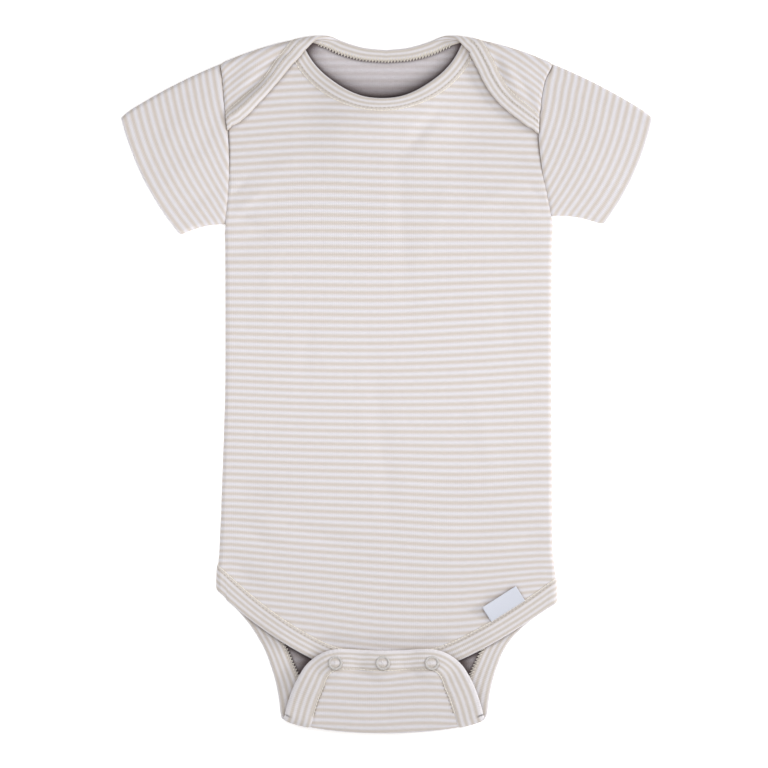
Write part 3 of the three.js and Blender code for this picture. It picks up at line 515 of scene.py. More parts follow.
def make_piece(name, points, faces, uvs, materials, material_of=None):
    """A mesh object from points in millimetres, faces, and one U and V for each corner of each face."""
    mesh = bpy.data.meshes.new(name)
    mesh.from_pydata((np.asarray(points) * MM).tolist(), [], np.asarray(faces).tolist())
    layer = mesh.uv_layers.new(name="cloth")
    layer.data.foreach_set("uv", np.asarray(uvs, np.float32).ravel())
    for material in materials:
        mesh.materials.append(material)
    if material_of is not None:
        mesh.polygons.foreach_set("material_index", np.asarray(material_of, np.int32))
    mesh.polygons.foreach_set("use_smooth", np.ones(len(mesh.polygons), bool))
    mesh.update()
    piece = bpy.data.objects.new(name, mesh)
    bpy.context.scene.collection.objects.link(piece)
    return piece


def grid_faces(rows, columns, ring=True):
    """Faces between the points of a grid. In a ring the last column is joined to the first."""
    i, j = np.meshgrid(np.arange(rows - 1), np.arange(columns if ring else columns - 1), indexing="ij")
    i, j, k = i.ravel(), j.ravel(), (j.ravel() + 1) % columns
    return np.stack([i * columns + j, i * columns + k, (i + 1) * columns + k, (i + 1) * columns + j], -1)


def wall(name, upper, lower, uv_upper, uv_lower, materials, ring=False):
    """A closed wall between two grids of points. The first material is on the upper grid's side."""
    rows, columns = upper.shape[:2]
    size = rows * columns

    def top(row, column):
        return row * columns + column

    def rim(a, b):
        """Faces from an edge of the upper grid to the same edge of the lower one."""
        return np.stack([a, a + size, b + size, b], -1)

    upper_faces = grid_faces(rows, columns, ring)
    lower_faces = upper_faces[:, ::-1] + size
    j = np.arange(columns if ring else columns - 1)
    k = (j + 1) % columns
    first, end = 0 * j, 0 * j + rows - 1
    rims = [rim(top(first, j), top(first, k)), rim(top(end, k), top(end, j))]
    if not ring:
        i = np.arange(rows - 1)
        left, right = 0 * i, 0 * i + columns - 1
        rims += [rim(top(i + 1, left), top(i, left)), rim(top(i, right), top(i + 1, right))]
    rims = np.concatenate(rims)
    faces = np.concatenate([upper_faces, lower_faces, rims])
    points = np.concatenate([upper.reshape(-1, 3), lower.reshape(-1, 3)])
    uvs = np.concatenate([uv_upper.reshape(-1, 2), uv_lower.reshape(-1, 2)])
    material_of = np.concatenate([np.zeros(len(upper_faces)), np.ones(len(lower_faces)), np.zeros(len(rims))])
    return make_piece(name, points, faces, uvs[faces.ravel()], materials, material_of)


def triangles(piece):
    return sum(len(p.vertices) - 2 for p in piece.data.polygons)


# %% [markdown]
# The stripes are knitted in: rows of beige yarn between rows of white, 4.26 mm from one beige stripe to the
# next. On the real garment the cloth lies a little skewed and stretched, so the stripes wander by up to a
# stripe's width. Two short tables say how far they drift down the middle and how far they sway to the sides.

# %% Count of stripes on the front
STRIPE = 4.26  # from one beige stripe to the next
STRIPE_TOP = 230.85  # height at which the count starts; white lies at whole numbers, beige at halves
DRIFT = {
    "y": [141, 123, 99, 81, 63, 36, 9, -18, -45, -81, -117, -140, -160],
    "stripes": [-0.47, -0.61, -1.05, -1.41, -1.7, -1.88, -1.76, -1.42, -1.04, -0.82, -0.74, -0.6, -0.4],
}
SWAY = {
    "y": [155, 141, 111, 81, 45, 9, -27, -63, -99, -129, -150],
    "far_left": [-0.4, -0.3, -0.15, 0, 0.3, 0.55, 0.65, 0.85, 1.75, 2.4, 2.6],
    "left": [0.3, 0.27, 0.23, 0.1, 0.1, 0.1, 0.2, 0.35, 0.7, 1.2, 1.3],
    "middle": [0, 0, 0, 0, 0, 0, 0, 0, 0, 0, 0],
    "right": [-0.3, -0.3, -0.2, 0.07, 0.4, 0.28, -0.05, -0.4, -0.5, -0.2, -0.1],
    "far_right": [-0.7, -0.7, -0.5, 0.15, 0.9, 0.9, 0.25, 0, 0, 1.2, 1.4],
}
SWAY_AT = {"far_left": -93, "left": -46, "middle": 0, "right": 44, "far_right": 92}


def front_stripes(x, y):
    sways = np.stack([read(SWAY, "y", name, y) for name in SWAY_AT])
    sway = curve(np.array(list(SWAY_AT.values()), float), sways, x)
    return (STRIPE_TOP - y) / STRIPE + read(DRIFT, "y", "stripes", y) + sway


TAIL_STRIPE = 3.9  # the tail's cloth lies a little compressed
TAIL_PHASE = 0.1


def back_stripes(x, run):
    past = np.maximum(0, -200 - run)
    wave = 0.16 * np.sin((x + 26) / 10.5) * ease(past / 20)
    return (STRIPE_TOP - run) / STRIPE + past * (1 / TAIL_STRIPE - 1 / STRIPE) + TAIL_PHASE + wave


print("stripes from neck to crotch:", round(float(front_stripes(np.array(0.0), np.array(-158.0))), 1))

# %% [markdown]
# Cotton jersey is knitted from a fine spun yarn. Its right side shows columns of small V stitches, it is
# matt, with a faint nap that lifts its edges, and the dyed rows meet the white ones in a soft, uneven line.
# The stripes come from the UV map. The stitches are a bump: a fine jersey has about 14 columns in a
# centimetre, drawn here as 9 so that they show. Slow and fine noise make the yarn uneven.
# Shade is also painted into the colour: an ambient occlusion node darkens the cloth towards a warm brown
# where other cloth closes it in, which draws each seam as a thin brown line, and on the wrong side it paints
# a wide grey-brown shade into the openings. The wrong side shows the white yarn's floats, so its stripes are
# fainter and greyer.

# %% Striped cotton jersey
WALE = 1.1  # from column to column of stitches
COURSES = 5  # rows of stitches in one stripe
YARN_UNEVEN = 0.05  # how far the edge of a stripe wanders, in stripes
# shade painted into the colour: thin along the seams on the right side, wide in the openings on the wrong
# side
SEAM_SHADE_PAINTED = {"reach": 3.0, "closed": 0.1, "open": 0.92, "power": 1.0, "tint": "#9C8B7B"}
OPENING_SHADE_PAINTED = {"reach": 26.0, "closed": 0.42, "open": 1.0, "power": 2.4, "tint": "#655A59"}


def striped_cotton(name, beige, white, soft, bump_height, shade_painted_in):
    """Knitted cotton with rows of two yarns. soft is the width of the change between them, and the last
    argument says how far around a place other cloth closes it in, and the shade painted into the colour
    there."""
    material, tree, output = new_material(name)
    uv = node(tree, "ShaderNodeUVMap", uv_map="cloth")
    place = node(tree, "ShaderNodeSeparateXYZ", {"Vector": uv.outputs["UV"]})
    along, count = place.outputs["X"], place.outputs["Y"]

    millimetres = node(tree, "ShaderNodeVectorMath", {0: uv.outputs["UV"], 1: (1.0, STRIPE, 0.0)},
                       operation="MULTIPLY")
    fibre = node(tree, "ShaderNodeTexNoise", {
        "Vector": millimetres.outputs["Vector"], "Scale": 0.9, "Detail": 3.0, "Roughness": 0.6})
    uneven = node(tree, "ShaderNodeMapRange", {
        "Value": fibre.outputs["Fac"], "To Min": -YARN_UNEVEN, "To Max": YARN_UNEVEN})
    wandering = node(tree, "ShaderNodeMath", {0: count, 1: uneven.outputs["Result"]}, operation="ADD")
    turns = node(tree, "ShaderNodeMath", {0: wandering.outputs[0], 1: 2 * math.pi}, operation="MULTIPLY")
    wave = node(tree, "ShaderNodeMath", {0: turns.outputs[0]}, operation="COSINE")
    stripe = node(tree, "ShaderNodeMapRange", {"Value": wave.outputs[0], "From Min": -soft, "From Max": soft})
    colour = node(tree, "ShaderNodeMix", {
        "Factor": stripe.outputs["Result"], 6: linear(beige), 7: linear(white)}, data_type="RGBA")

    yarn_place = node(tree, "ShaderNodeVectorMath", {0: millimetres.outputs["Vector"], 1: (0.25, 1.6, 1.0)},
                      operation="MULTIPLY")
    slub = node(tree, "ShaderNodeTexNoise", {
        "Vector": yarn_place.outputs["Vector"], "Scale": 1.0, "Detail": 4.0, "Roughness": 0.7})
    shade = node(tree, "ShaderNodeMapRange", {"Value": slub.outputs["Fac"], "To Min": 0.88, "To Max": 1.1})
    heathered = node(tree, "ShaderNodeVectorMath", {0: colour.outputs[2], 1: shade.outputs["Result"]},
                     operation="MULTIPLY")

    # painted shade: the colour is darkened towards the tint where other cloth closes the place in
    occlusion_to_paint = node(tree, "ShaderNodeAmbientOcclusion", {"Distance": shade_painted_in["reach"] * MM}, samples=10)
    openness = node(tree, "ShaderNodeMapRange", {
        "Value": occlusion_to_paint.outputs["AO"], "From Min": shade_painted_in["closed"], "From Max": shade_painted_in["open"]})
    lit = node(tree, "ShaderNodeMath", {0: openness.outputs["Result"], 1: shade_painted_in["power"]}, operation="POWER")
    painted_shade_tint = node(tree, "ShaderNodeMix", {
        "Factor": lit.outputs[0], 6: linear(shade_painted_in["tint"]), 7: linear("#FFFFFF")}, data_type="RGBA")
    colour_with_painted_shade = node(tree, "ShaderNodeVectorMath", {0: heathered.outputs["Vector"], 1: painted_shade_tint.outputs[2]},
                  operation="MULTIPLY")

    column_turn = node(tree, "ShaderNodeMath", {0: along, 1: 2 * math.pi / WALE}, operation="MULTIPLY")
    column = node(tree, "ShaderNodeMath", {0: column_turn.outputs[0]}, operation="COSINE")
    lean = node(tree, "ShaderNodeMath", {0: column.outputs[0], 1: 1.2}, operation="MULTIPLY")
    course_turn = node(tree, "ShaderNodeMath", {
        0: count, 1: 2 * math.pi * COURSES, 2: lean.outputs[0]}, operation="MULTIPLY_ADD")
    course = node(tree, "ShaderNodeMath", {0: course_turn.outputs[0]}, operation="SINE")
    loops = node(tree, "ShaderNodeMath", {0: course.outputs[0], 1: column.outputs[0]}, operation="ADD")
    knit = node(tree, "ShaderNodeMath", {0: fibre.outputs["Fac"], 1: 3.0, 2: loops.outputs[0]},
                operation="MULTIPLY_ADD")
    bump = node(tree, "ShaderNodeBump", {
        "Strength": 0.5, "Distance": bump_height * MM, "Height": knit.outputs[0]})

    cotton = node(tree, "ShaderNodeBsdfPrincipled", {
        "Base Color": colour_with_painted_shade.outputs["Vector"], "Roughness": 0.92, "IOR": 1.5, "Specular IOR Level": 0.2,
        "Sheen Weight": 0.25, "Sheen Roughness": 0.5, "Normal": bump.outputs["Normal"]})
    tree.links.new(cotton.outputs["BSDF"], output.inputs["Surface"])
    return material


jersey = striped_cotton("cotton_jersey_right_side", "#CFC5BD", "#DEDBE0", 1.0, 0.05, SEAM_SHADE_PAINTED)
jersey_inside = striped_cotton("cotton_jersey_wrong_side", "#D3CBCC", "#DED9DE", 1.0, 0.06, OPENING_SHADE_PAINTED)
binding_cotton = striped_cotton("cotton_binding", "#CCC3BB", "#DFDBDE", 0.9, 0.05, SEAM_SHADE_PAINTED)
print("cottons:", jersey.name, jersey_inside.name, binding_cotton.name)

# %% [markdown]
# The front is one cut piece. Its grid has a column about every millimetre and a half, closer at the sides
# where it turns. Its edges run a little further than the seams, into the bindings, as cut edges do, and get
# thinner there so that the binding holds them.

# %% Front panel
TUCK = 2.6  # how far a panel's edge goes into its binding
FRONT_ROWS, BODY_COLUMNS = 205, 123
REACH = float(full_reach(-1.0, 0.0))
TURN_AT = float(turn_start(-1.0, 0.0))
SIDE_COLUMNS = np.linspace(TURN_AT, REACH, 8)[1:]
MIDDLE_COLUMNS = np.linspace(-TURN_AT, TURN_AT, BODY_COLUMNS)
COLUMNS = np.concatenate([-SIDE_COLUMNS[::-1], MIDDLE_COLUMNS, SIDE_COLUMNS]) / REACH


def front_place(share, up, tuck=0.0):
    """Where a place of the front's grid lies, for a share across and a share from leg edge to neck."""
    x = share * REACH
    for _ in range(8):
        y = mix(front_leg_seam(x) - tuck, front_top_edge(x, tuck), up)
        x = share * full_reach(share, y)
    return x, y


def panel(name, surface, x, along, stripes, half, materials):
    """A wall of cloth on the places x and along of a surface, half as thick on each side as half says."""
    normal = normals_of(surface, x, along)[0]
    middle = surface(x, along)
    uv = np.stack([x, stripes(x, along)], -1)
    offset = half[..., None] * normal
    return wall(name, middle + offset, middle - offset, uv, uv, materials)


ups = np.linspace(0, 1, FRONT_ROWS)
share_grid, up_grid = np.meshgrid(COLUMNS, ups)
front_x, front_y = front_place(share_grid, up_grid, TUCK)
from_edge = np.minimum(front_y - (front_leg_seam(front_x) - TUCK), front_top_edge(front_x, TUCK) - front_y)
front_half = CLOTH / 2 * mix(0.5, 1, ease(from_edge / TUCK))
front_panel = panel("front_panel_jersey", front_surface, front_x, front_y, front_stripes, front_half,
                    [jersey, jersey_inside])
print("front:", triangles(front_panel), "triangles")

# %% [markdown]
# The back is the longest piece of the cut. Its grid has rows for the rounded end of the tail, the tail and
# its fold, the legs, the body, and the laps with their fold. In each row the columns share out its width.

# %% Back panel
TAIL_END = TAIL["run"][-1]
LAP_FROM = 156.0
FOLD_FROM, FOLD_TO = 0.38, 0.62  # the shares of the lap's rows between which it folds over
TAIL_STEP, BODY_STEP, LAP_ROWS = 1.6, 3.0, 64


def tail_place(share, run, inset):
    half = read(TAIL, "run", "half", run) - inset
    shift = CROTCH["shift"] * ease((-120 - run) / 30)
    reach = full_reach(share, run + leg_tilt(share * half))
    x = np.clip(shift + share * half, -reach, reach)
    return x, run + leg_tilt(x) * ease((run + 175) / 40)


def body_place(share, run):
    x = share * full_reach(share, run)
    return x, run + leg_tilt(x) * ease((-40 - run) / 60)


def lap_place(share, up, tuck=0.0):
    """Rows from the chest over the shoulder fold to the lap's edge, closer together in the fold."""
    x = share * REACH
    for _ in range(8):
        top = by_side(BACK_TOP, "x", x, np.abs(x)) + tuck
        bend = shoulder_bend_start(x)
        start = np.minimum(bend, top - 12)
        end = np.minimum(bend + math.pi * SHOULDER["bend"], top - 7)
        in_fold = mix(start, end, (up - FOLD_FROM) / (FOLD_TO - FOLD_FROM))
        on_lap = mix(end, top, (up - FOLD_TO) / (1 - FOLD_TO))
        past = np.where(up <= FOLD_TO, in_fold, on_lap)
        run = np.where(up <= FOLD_FROM, mix(LAP_FROM, start, up / FOLD_FROM), past)
        x = share * full_reach(share, back_surface(x, run)[..., 1])
    return x, run


def corner_rows(radius, tuck):
    """The tail's rounded corners: how far each row is from the end, and how much narrower it is."""
    turns = np.radians(np.linspace(0, 80, 9))
    round_radius = radius + tuck
    return TAIL_END - tuck + round_radius * (1 - np.cos(turns)), round_radius * (1 - np.sin(turns)) - tuck


def back_grid(columns, tuck):
    corner_runs, insets = corner_rows(TAIL_CORNER, tuck)
    runs = np.arange(TAIL_END + TAIL_CORNER, -110, TAIL_STEP)
    rows = [tail_place(columns, run, inset) for run, inset in zip(corner_runs, insets)]
    rows += [tail_place(columns, run, -tuck) for run in runs]
    rows += [body_place(columns, run) for run in np.arange(-109, LAP_FROM - 1, BODY_STEP)]
    rows += [lap_place(columns, up, tuck) for up in np.linspace(0, 1, LAP_ROWS)]
    return np.stack([r[0] for r in rows]), np.stack([r[1] for r in rows])


back_x, back_run = back_grid(COLUMNS, TUCK)
top_edge = by_side(BACK_TOP, "x", back_x, np.abs(back_x)) + TUCK
leg_half = read(TAIL, "run", "half", back_run) + TUCK
from_edge = np.minimum(top_edge - back_run, np.where(back_run < -113, leg_half - np.abs(back_x), TUCK))
from_edge = np.minimum(from_edge, back_run - (TAIL_END - TUCK))
back_half = CLOTH / 2 * mix(0.5, 1, ease(from_edge / TUCK))
back_panel = panel("back_panel_jersey", back_surface, back_x, back_run, back_stripes, back_half,
                   [jersey_inside, jersey])
print("back:", triangles(back_panel), "triangles")

# %% [markdown]
# A sleeve is a tube pressed flat, folded along its top and its underarm. Its hem is turned in and has no
# visible stitching. The stripes run round the arm: at the hem they are parallel to it, and at the armhole
# they slant, because the sleeve's cap is cut on a curve.

# %% Sleeves
SLEEVES = [
    {"side": "left", "sign": -1, "top": (159.3, 161.0), "under": (123.4, 89.4), "bow": 4.6},
    {"side": "right", "sign": 1, "top": (159.3, 160.8), "under": (129.7, 95.7), "bow": 4.0},
]
SLEEVE_TOP_Y = 192.2
SLEEVE_EDGE_BOW = 1.9
SLEEVE_FRONT, SLEEVE_SWELL, SLEEVE_ROUND = 4.2, 0.5, 2.0
HEM_FROM, HEM_EXTRA, TIP_ROUND = 0.8, 0.7, 0.9
SLEEVE_SEAM_GAP = 0.1
SLEEVE_CREASES = {
    "left": {"x": [-112, -122, -108, -130, -140], "y": [112, 128, 150, 150, 140],
             "long": [13, 20, 16, 22, 18], "wide": [3, 4, 4, 5, 5],
             "turn": [28, 36, 60, 44, 62], "rise": [-0.35, 0.25, -0.2, 0.2, -0.2]},
    "right": {"x": [114, 124, 108, 132, 142], "y": [114, 130, 152, 150, 136],
              "long": [13, 20, 16, 22, 18], "wide": [3, 4, 4, 5, 5],
              "turn": [-30, -40, -62, -46, -60], "rise": [-0.35, 0.25, -0.2, 0.2, -0.2]},
}


def sleeve_plan(sleeve, out, down):
    """Place in the plan, for a share out from the armhole to the hem and a share down the sleeve."""
    arm_y = mix(SLEEVE_TOP_Y, ARMHOLE_BOTTOM[sleeve["side"]], down)
    arm_x = body_half(sleeve["sign"], arm_y) - CLOTH / 2 + SLEEVE_SEAM_GAP
    bow = sleeve["bow"] * 4 * down * (1 - down)
    hem_x = mix(sleeve["top"][0], sleeve["under"][0], down) + bow * 0.9
    hem_y = mix(sleeve["top"][1], sleeve["under"][1], down) - bow * 0.45
    lift = SLEEVE_EDGE_BOW * 4 * out * (1 - out)
    return np.stack([sleeve["sign"] * mix(arm_x, hem_x, out), mix(arm_y, hem_y, out) + lift], -1)


def sleeve_ring(sleeve, out):
    """The middle surface once round at one share out, and the distance down the sleeve of each point."""
    length = np.linalg.norm(sleeve_plan(sleeve, out, 0.0) - sleeve_plan(sleeve, out, 1.0))
    edge = CLOTH / 2 + SLEEVE_ROUND + TIP_ROUND * ease((out - 0.88) / 0.12) ** 2
    turns = np.linspace(0, QUARTER, 7)
    flats = mix(edge, length - edge, np.linspace(0, 1, 48)[1:-1])
    at_top = edge - SLEEVE_ROUND * np.cos(turns)
    at_under = length - at_top
    rise = np.sin(turns)
    distance = np.concatenate([at_top, flats, at_under[::-1], at_under[1:], flats[::-1], at_top[:0:-1]])
    ones = np.ones(len(flats))
    rises = np.concatenate([rise, ones, rise[::-1], rise[1:], ones, rise[:0:-1]])
    front = np.concatenate([np.ones(len(turns) * 2 + len(flats)), np.zeros(len(turns) * 2 - 2 + len(flats))])
    down = distance / length
    plan = sleeve_plan(sleeve, out, down)
    upper = SLEEVE_FRONT + SLEEVE_SWELL * np.sin(math.pi * down) * math.sin(math.pi * out)
    upper = upper + crease_rise(SLEEVE_CREASES[sleeve["side"]], plan[:, 0], plan[:, 1])
    reach = np.where(front > 0, upper, BACK_MID) - SIDE_SEAM
    z = SIDE_SEAM + reach * rises
    span = np.linalg.norm(sleeve_plan(sleeve, 0.0, down) - sleeve_plan(sleeve, 1.0, down), axis=-1)
    from_arm = out * span
    groove = GROOVE_DEEP * np.exp(-((from_arm / GROOVE_WIDE) ** 2))
    puckers = PUCKER * ripple(plan[:, 1], 1.0) * np.exp(-from_arm / 5)
    z = z - front * rises * (groove - puckers)
    return np.column_stack([plan, z]), distance, down


SLEEVE_STRIPES = {  # how many lie between the armhole and the hem, by share down the sleeve
    "down": [0, 0.1, 0.28, 0.46, 0.65, 0.82, 1],
    "left": [14.6, 14.6, 14.2, 13.3, 11.6, 9.4, 6.6],
    "right": [14.4, 15.0, 15.1, 14.3, 12.4, 9.9, 6.8],
}


def sleeve_stripes(sleeve, out, down):
    """Counts stripes from the hem. They leave the hem in parallel and bend away from the cap's curve."""
    return (1 - out) * read(SLEEVE_STRIPES, "down", sleeve["side"], down)


def make_sleeve(sleeve):
    at_hem = [0.988, 0.994, 0.998, 1.0]
    outs = np.concatenate([np.linspace(0, 0.04, 5)[:-1], np.linspace(0.04, 0.98, 34), at_hem])
    rings = [sleeve_ring(sleeve, out) for out in outs]
    middle = np.stack([r[0] for r in rings])
    stripes = np.stack([sleeve_stripes(sleeve, out, r[2]) for out, r in zip(outs, rings)])
    around = np.roll(middle, -1, 1) - np.roll(middle, 1, 1)
    along = np.gradient(middle, axis=0)
    outward = np.cross(around, along) * sleeve["sign"]
    outward /= np.linalg.norm(outward, axis=-1, keepdims=True)
    hem = HEM_EXTRA * ease((outs - HEM_FROM + 0.02) / 0.04)
    round_off = np.sqrt(1 - np.clip((outs - 0.982) / 0.0185, 0, 1) ** 2)
    over = (CLOTH / 2 * mix(0.3, 1, round_off))[:, None, None]
    under = ((CLOTH / 2 + hem) * mix(0.3, 1, round_off))[:, None, None]
    outer, inner = middle + outward * over, middle - outward * under
    distance = np.stack([r[1] for r in rings])
    uv = np.stack([distance, stripes], -1)
    name = f"sleeve_{sleeve['side']}_jersey"
    if sleeve["sign"] > 0:
        return wall(name, outer, inner, uv, uv, [jersey, jersey_inside], ring=True)
    return wall(name, inner, outer, uv, uv, [jersey_inside, jersey], ring=True)


sleeves = {sleeve["side"]: make_sleeve(sleeve) for sleeve in SLEEVES}
print("sleeves:", {side: triangles(piece) for side, piece in sleeves.items()})

# %% [markdown]
# A binding is a strip folded over the cut edge and stitched down. Its section is a flat loop with round
# edges, a little fuller in the middle. The strip follows its seam: from each place of the seam a short walk
# over the cloth, square to the seam, says where the strip lies. At the sides the walk turns down the panel.

# %% Shape of a binding
SEAM_GAP = 0.35
MITRE = 3.2
ROUND_SHARE = 0.16  # the share of the width that an edge takes to round off


def binding_section(top_count=17):
    """Corners once round, from the seam over the upper face and back: share of width, share of thickness."""
    over = (1 - np.cos(np.linspace(0, math.pi, top_count))) / 2
    edge = np.minimum(over, 1 - over) / ROUND_SHARE
    up = 0.5 * np.sqrt(1 - np.clip(1 - edge, 0, 1) ** 2)
    up = np.maximum(up, 0.06)
    return np.concatenate([over, over[::-1]]), np.concatenate([up, -up[::-1]])


def walk(surface, a, b, heading, distances):
    """The places that lines over a surface pass, from places a and b, at distances with one row a line."""
    places_a, places_b = [], []
    done = np.zeros(len(a))
    for distance in distances.T:
        strides = max(1, math.ceil(float(np.max(distance - done)) / 1.5))
        stride = (distance - done) / strides
        for _ in range(strides):
            normal, across, along = normals_of(surface, a, b)
            way = heading - normal * np.sum(heading * normal, -1, keepdims=True)
            way /= np.linalg.norm(way, axis=-1, keepdims=True)
            aa, ab, bb = np.sum(across**2, -1), np.sum(across * along, -1), np.sum(along**2, -1)
            wa, wb = np.sum(way * across, -1), np.sum(way * along, -1)
            size = aa * bb - ab * ab
            before = surface(a, b)
            a = a + (wa * bb - wb * ab) / size * stride
            b = b + (wb * aa - wa * ab) / size * stride
            moved = surface(a, b) - before
            long = np.linalg.norm(moved, axis=-1, keepdims=True)
            heading = np.where(long > 1e-9, moved / np.maximum(long, 1e-9), heading)
        done = distance
        places_a.append(a)
        places_b.append(b)
    return np.stack(places_a, -1), np.stack(places_b, -1)


def down_column(surface, a, b, distances):
    """Places down the panel in the column of a place, which keeps its share of the panel's width."""
    y = surface(a, b)[..., 1]
    onward = np.sign(surface(a, b + 1)[..., 1] - y)
    below = y[:, None] - distances
    share = (a / full_reach(a, y))[:, None]
    return share * full_reach(share, below), b[:, None] - onward[:, None] * distances


def lay_strip(surface, a, b, width, sides, turn, lead, gap, shares):
    """Middle points and normals of a strip along a seam, one row a place and one column a share of width."""
    seam = surface(a, b)
    tangent = np.gradient(seam, axis=0)
    tangent /= np.linalg.norm(tangent, axis=-1, keepdims=True)
    square = turn * np.cross(normals_of(surface, a, b)[0], tangent)
    square /= np.linalg.norm(square, axis=-1, keepdims=True)
    leads = lead(a)[:, None]
    heading = square * (1 - leads) + np.array([0, -1.0, 0]) * leads
    heading /= np.linalg.norm(heading, axis=-1, keepdims=True)
    reach = np.minimum(width / np.maximum(0.5, np.sum(heading * square, -1)), width + MITRE)
    distances = gap + shares[None, :] * reach[:, None]
    place_a, place_b = walk(surface, a, b, heading, distances)
    side_a, side_b = down_column(surface, a, b, distances)
    cut = ease((leads - 0.8) / 0.2)
    place_a, place_b = mix(place_a, side_a, cut), mix(place_b, side_b, cut)
    return surface(place_a, place_b), normals_of(surface, place_a, place_b)[0], sides(place_a, place_b)


def binding(name, surface, seam, spec, materials):
    """A folded binding as a closed tube. spec gives its width, sides, turn and lead, and for the upper
    and the lower face how many stripes its width holds and at which count they start."""
    a, b = seam
    over, up = binding_section()
    count = len(over)
    middle, normal, (above, below) = lay_strip(
        surface, a, b, spec["width"], spec["sides"], spec["turn"], spec["lead"], spec.get("gap", 0.0),
        over[: count // 2])
    length = np.concatenate([[0], np.cumsum(np.linalg.norm(np.diff(middle[:, 0], axis=0), axis=-1))])
    column = np.r_[0 : count // 2, count // 2 - 1 : -1 : -1]
    middle, normal, above, below = middle[:, column], normal[:, column], above[:, column], below[:, column]
    puff = 1 + 0.05 * ripple(length * 1.6, 0.7)[:, None] * np.sin(math.pi * over)[None, :]
    height = mix(-below, above, up[None, :] + 0.5) * puff
    points = middle + normal * height[..., None]
    points[..., 2] = np.maximum(points[..., 2], 0)
    (per_up, start_up), (per_down, start_down) = spec["stripes"]
    counted = np.where(up > 0, per_up * over + start_up, np.minimum(per_down * over + start_down, 4.0))
    uv = np.stack([np.broadcast_to(length[:, None], middle.shape[:2]),
                   np.broadcast_to(counted[None, :], middle.shape[:2])], -1)
    return tube(name, points, uv, materials, spec["turn"] < 0)


def tube(name, points, uv, materials, flip):
    """A closed tube from rows of points, each a ring, with a flat cap at both ends."""
    rows, count = points.shape[:2]
    faces = grid_faces(rows, count)[:, TURNED]
    half = np.arange(count // 2 - 1)
    caps = []
    for base, turned in ((0, False), ((rows - 1) * count, True)):
        strip = np.stack([half, half + 1, count - 2 - half, count - 1 - half], -1) + base
        caps.append(strip[:, ::-1] if turned else strip)
    faces = np.concatenate([faces, *caps])
    if flip:
        faces = faces[:, ::-1]
    return make_piece(name, points.reshape(-1, 3), faces, uv.reshape(-1, 2)[faces.ravel()], materials)


print("corners round a binding:", len(binding_section()[0]))

# %% [markdown]
# Four strips bind the edges of this garment: the front neck, the back neck with both laps, the front leg
# edge, and the back leg edge with the tail. Each is cut along the stripes, so the stripes run lengthwise:
# three beige lines on the neck and four on the legs.

# %% Bindings of the neck
def square_all(a):
    return 0.0 * a


def lap_lead(a):
    """1 where a strip's end is cut along the side of its panel, 0 where it is square to its seam."""
    return ease((np.abs(a) - 76) / 14)


def even_sides(a, b):
    return np.full(a.shape, BINDING / 2), np.full(a.shape, BINDING / 2)


def back_sides(a, b):
    """The back's bindings lie flush with the floor, and stand out on both sides over the folds."""
    spot = back_surface(a, b)
    start = turn_start(a, spot[..., 1])
    turned = closure(a, spot[..., 1]) * np.clip((np.abs(a) - start) / (EDGE_ROUND * QUARTER), 0, 1)
    over = ease((spot[..., 2] - BACK_MID) / 2.5) * (1 - turned)
    below = mix(CLOTH / 2, BINDING / 2, over)
    return mix(BINDING - below, CLOTH / 2, ease(turned * 1.6)), below


shares = np.concatenate([COLUMNS[:7], np.linspace(COLUMNS[7], -COLUMNS[7], 301), COLUMNS[-7:]])
neck_x, neck_y = front_place(shares, 1.0 + 0 * shares)
in_neckline = neck_y < shoulder_line(neck_x) - FRONT_UNDER_LAP - 0.01
neck_seam = (neck_x[in_neckline], neck_y[in_neckline])
neck_width = NECK["binding"] + NECK["wider"] * ease((np.abs(neck_seam[0] - NECK["x"]) - 8) / 30)
NECK_SPEC = {"width": neck_width, "sides": even_sides, "turn": 1, "lead": square_all,
             "stripes": ((3.0, 0.0), (3.0, 0.0))}
front_neck_binding = binding(
    "front_neck_binding_cotton", front_surface, neck_seam, NECK_SPEC, [binding_cotton])

LAP_BINDING = {
    "x": [0, 32, 44, 56, 66, 75, 86, 97],
    "left": [6.9, 7.6, 7.6, 10.0, 9.6, 8.4, 10.4, 8.2],
    "right": [6.9, 7.6, 7.6, 10.4, 10.8, 10.4, 9.8, 5.6],
}
lap_seam = lap_place(shares, 1.0 + 0 * shares)
lap_width = by_side(LAP_BINDING, "x", lap_seam[0], np.abs(lap_seam[0]))
LAP_SPEC = {"width": lap_width, "sides": back_sides, "turn": 1, "lead": lap_lead, "gap": SEAM_GAP,
            "stripes": ((2.63, -0.6), (3.5, 0.0))}
back_neck_binding = binding("back_neck_binding_cotton", back_surface, lap_seam, LAP_SPEC, [binding_cotton])
print("neck bindings:", triangles(front_neck_binding) + triangles(back_neck_binding), "triangles")

# %% Bindings of the legs
LEG_BAND = 12.0


def leg_lead(a):
    return ease((np.abs(a) - 84) / 14)


def front_leg_sides(a, b):
    turned = np.clip((np.abs(a) - turn_start(a, b)) / (EDGE_ROUND * QUARTER), 0, 1)
    return np.full(a.shape, BINDING / 2), mix(BINDING / 2, CLOTH / 2, ease(turned * 1.6))


leg_seam = front_place(shares, 0.0 * shares)
LEG_SPEC = {"width": np.full(len(shares), LEG_BAND), "sides": front_leg_sides, "turn": -1, "lead": leg_lead,
            "stripes": ((4.0, 0.0), (4.0, 0.0))}
front_leg_band = binding("front_leg_band_cotton", front_surface, leg_seam, LEG_SPEC, [binding_cotton])


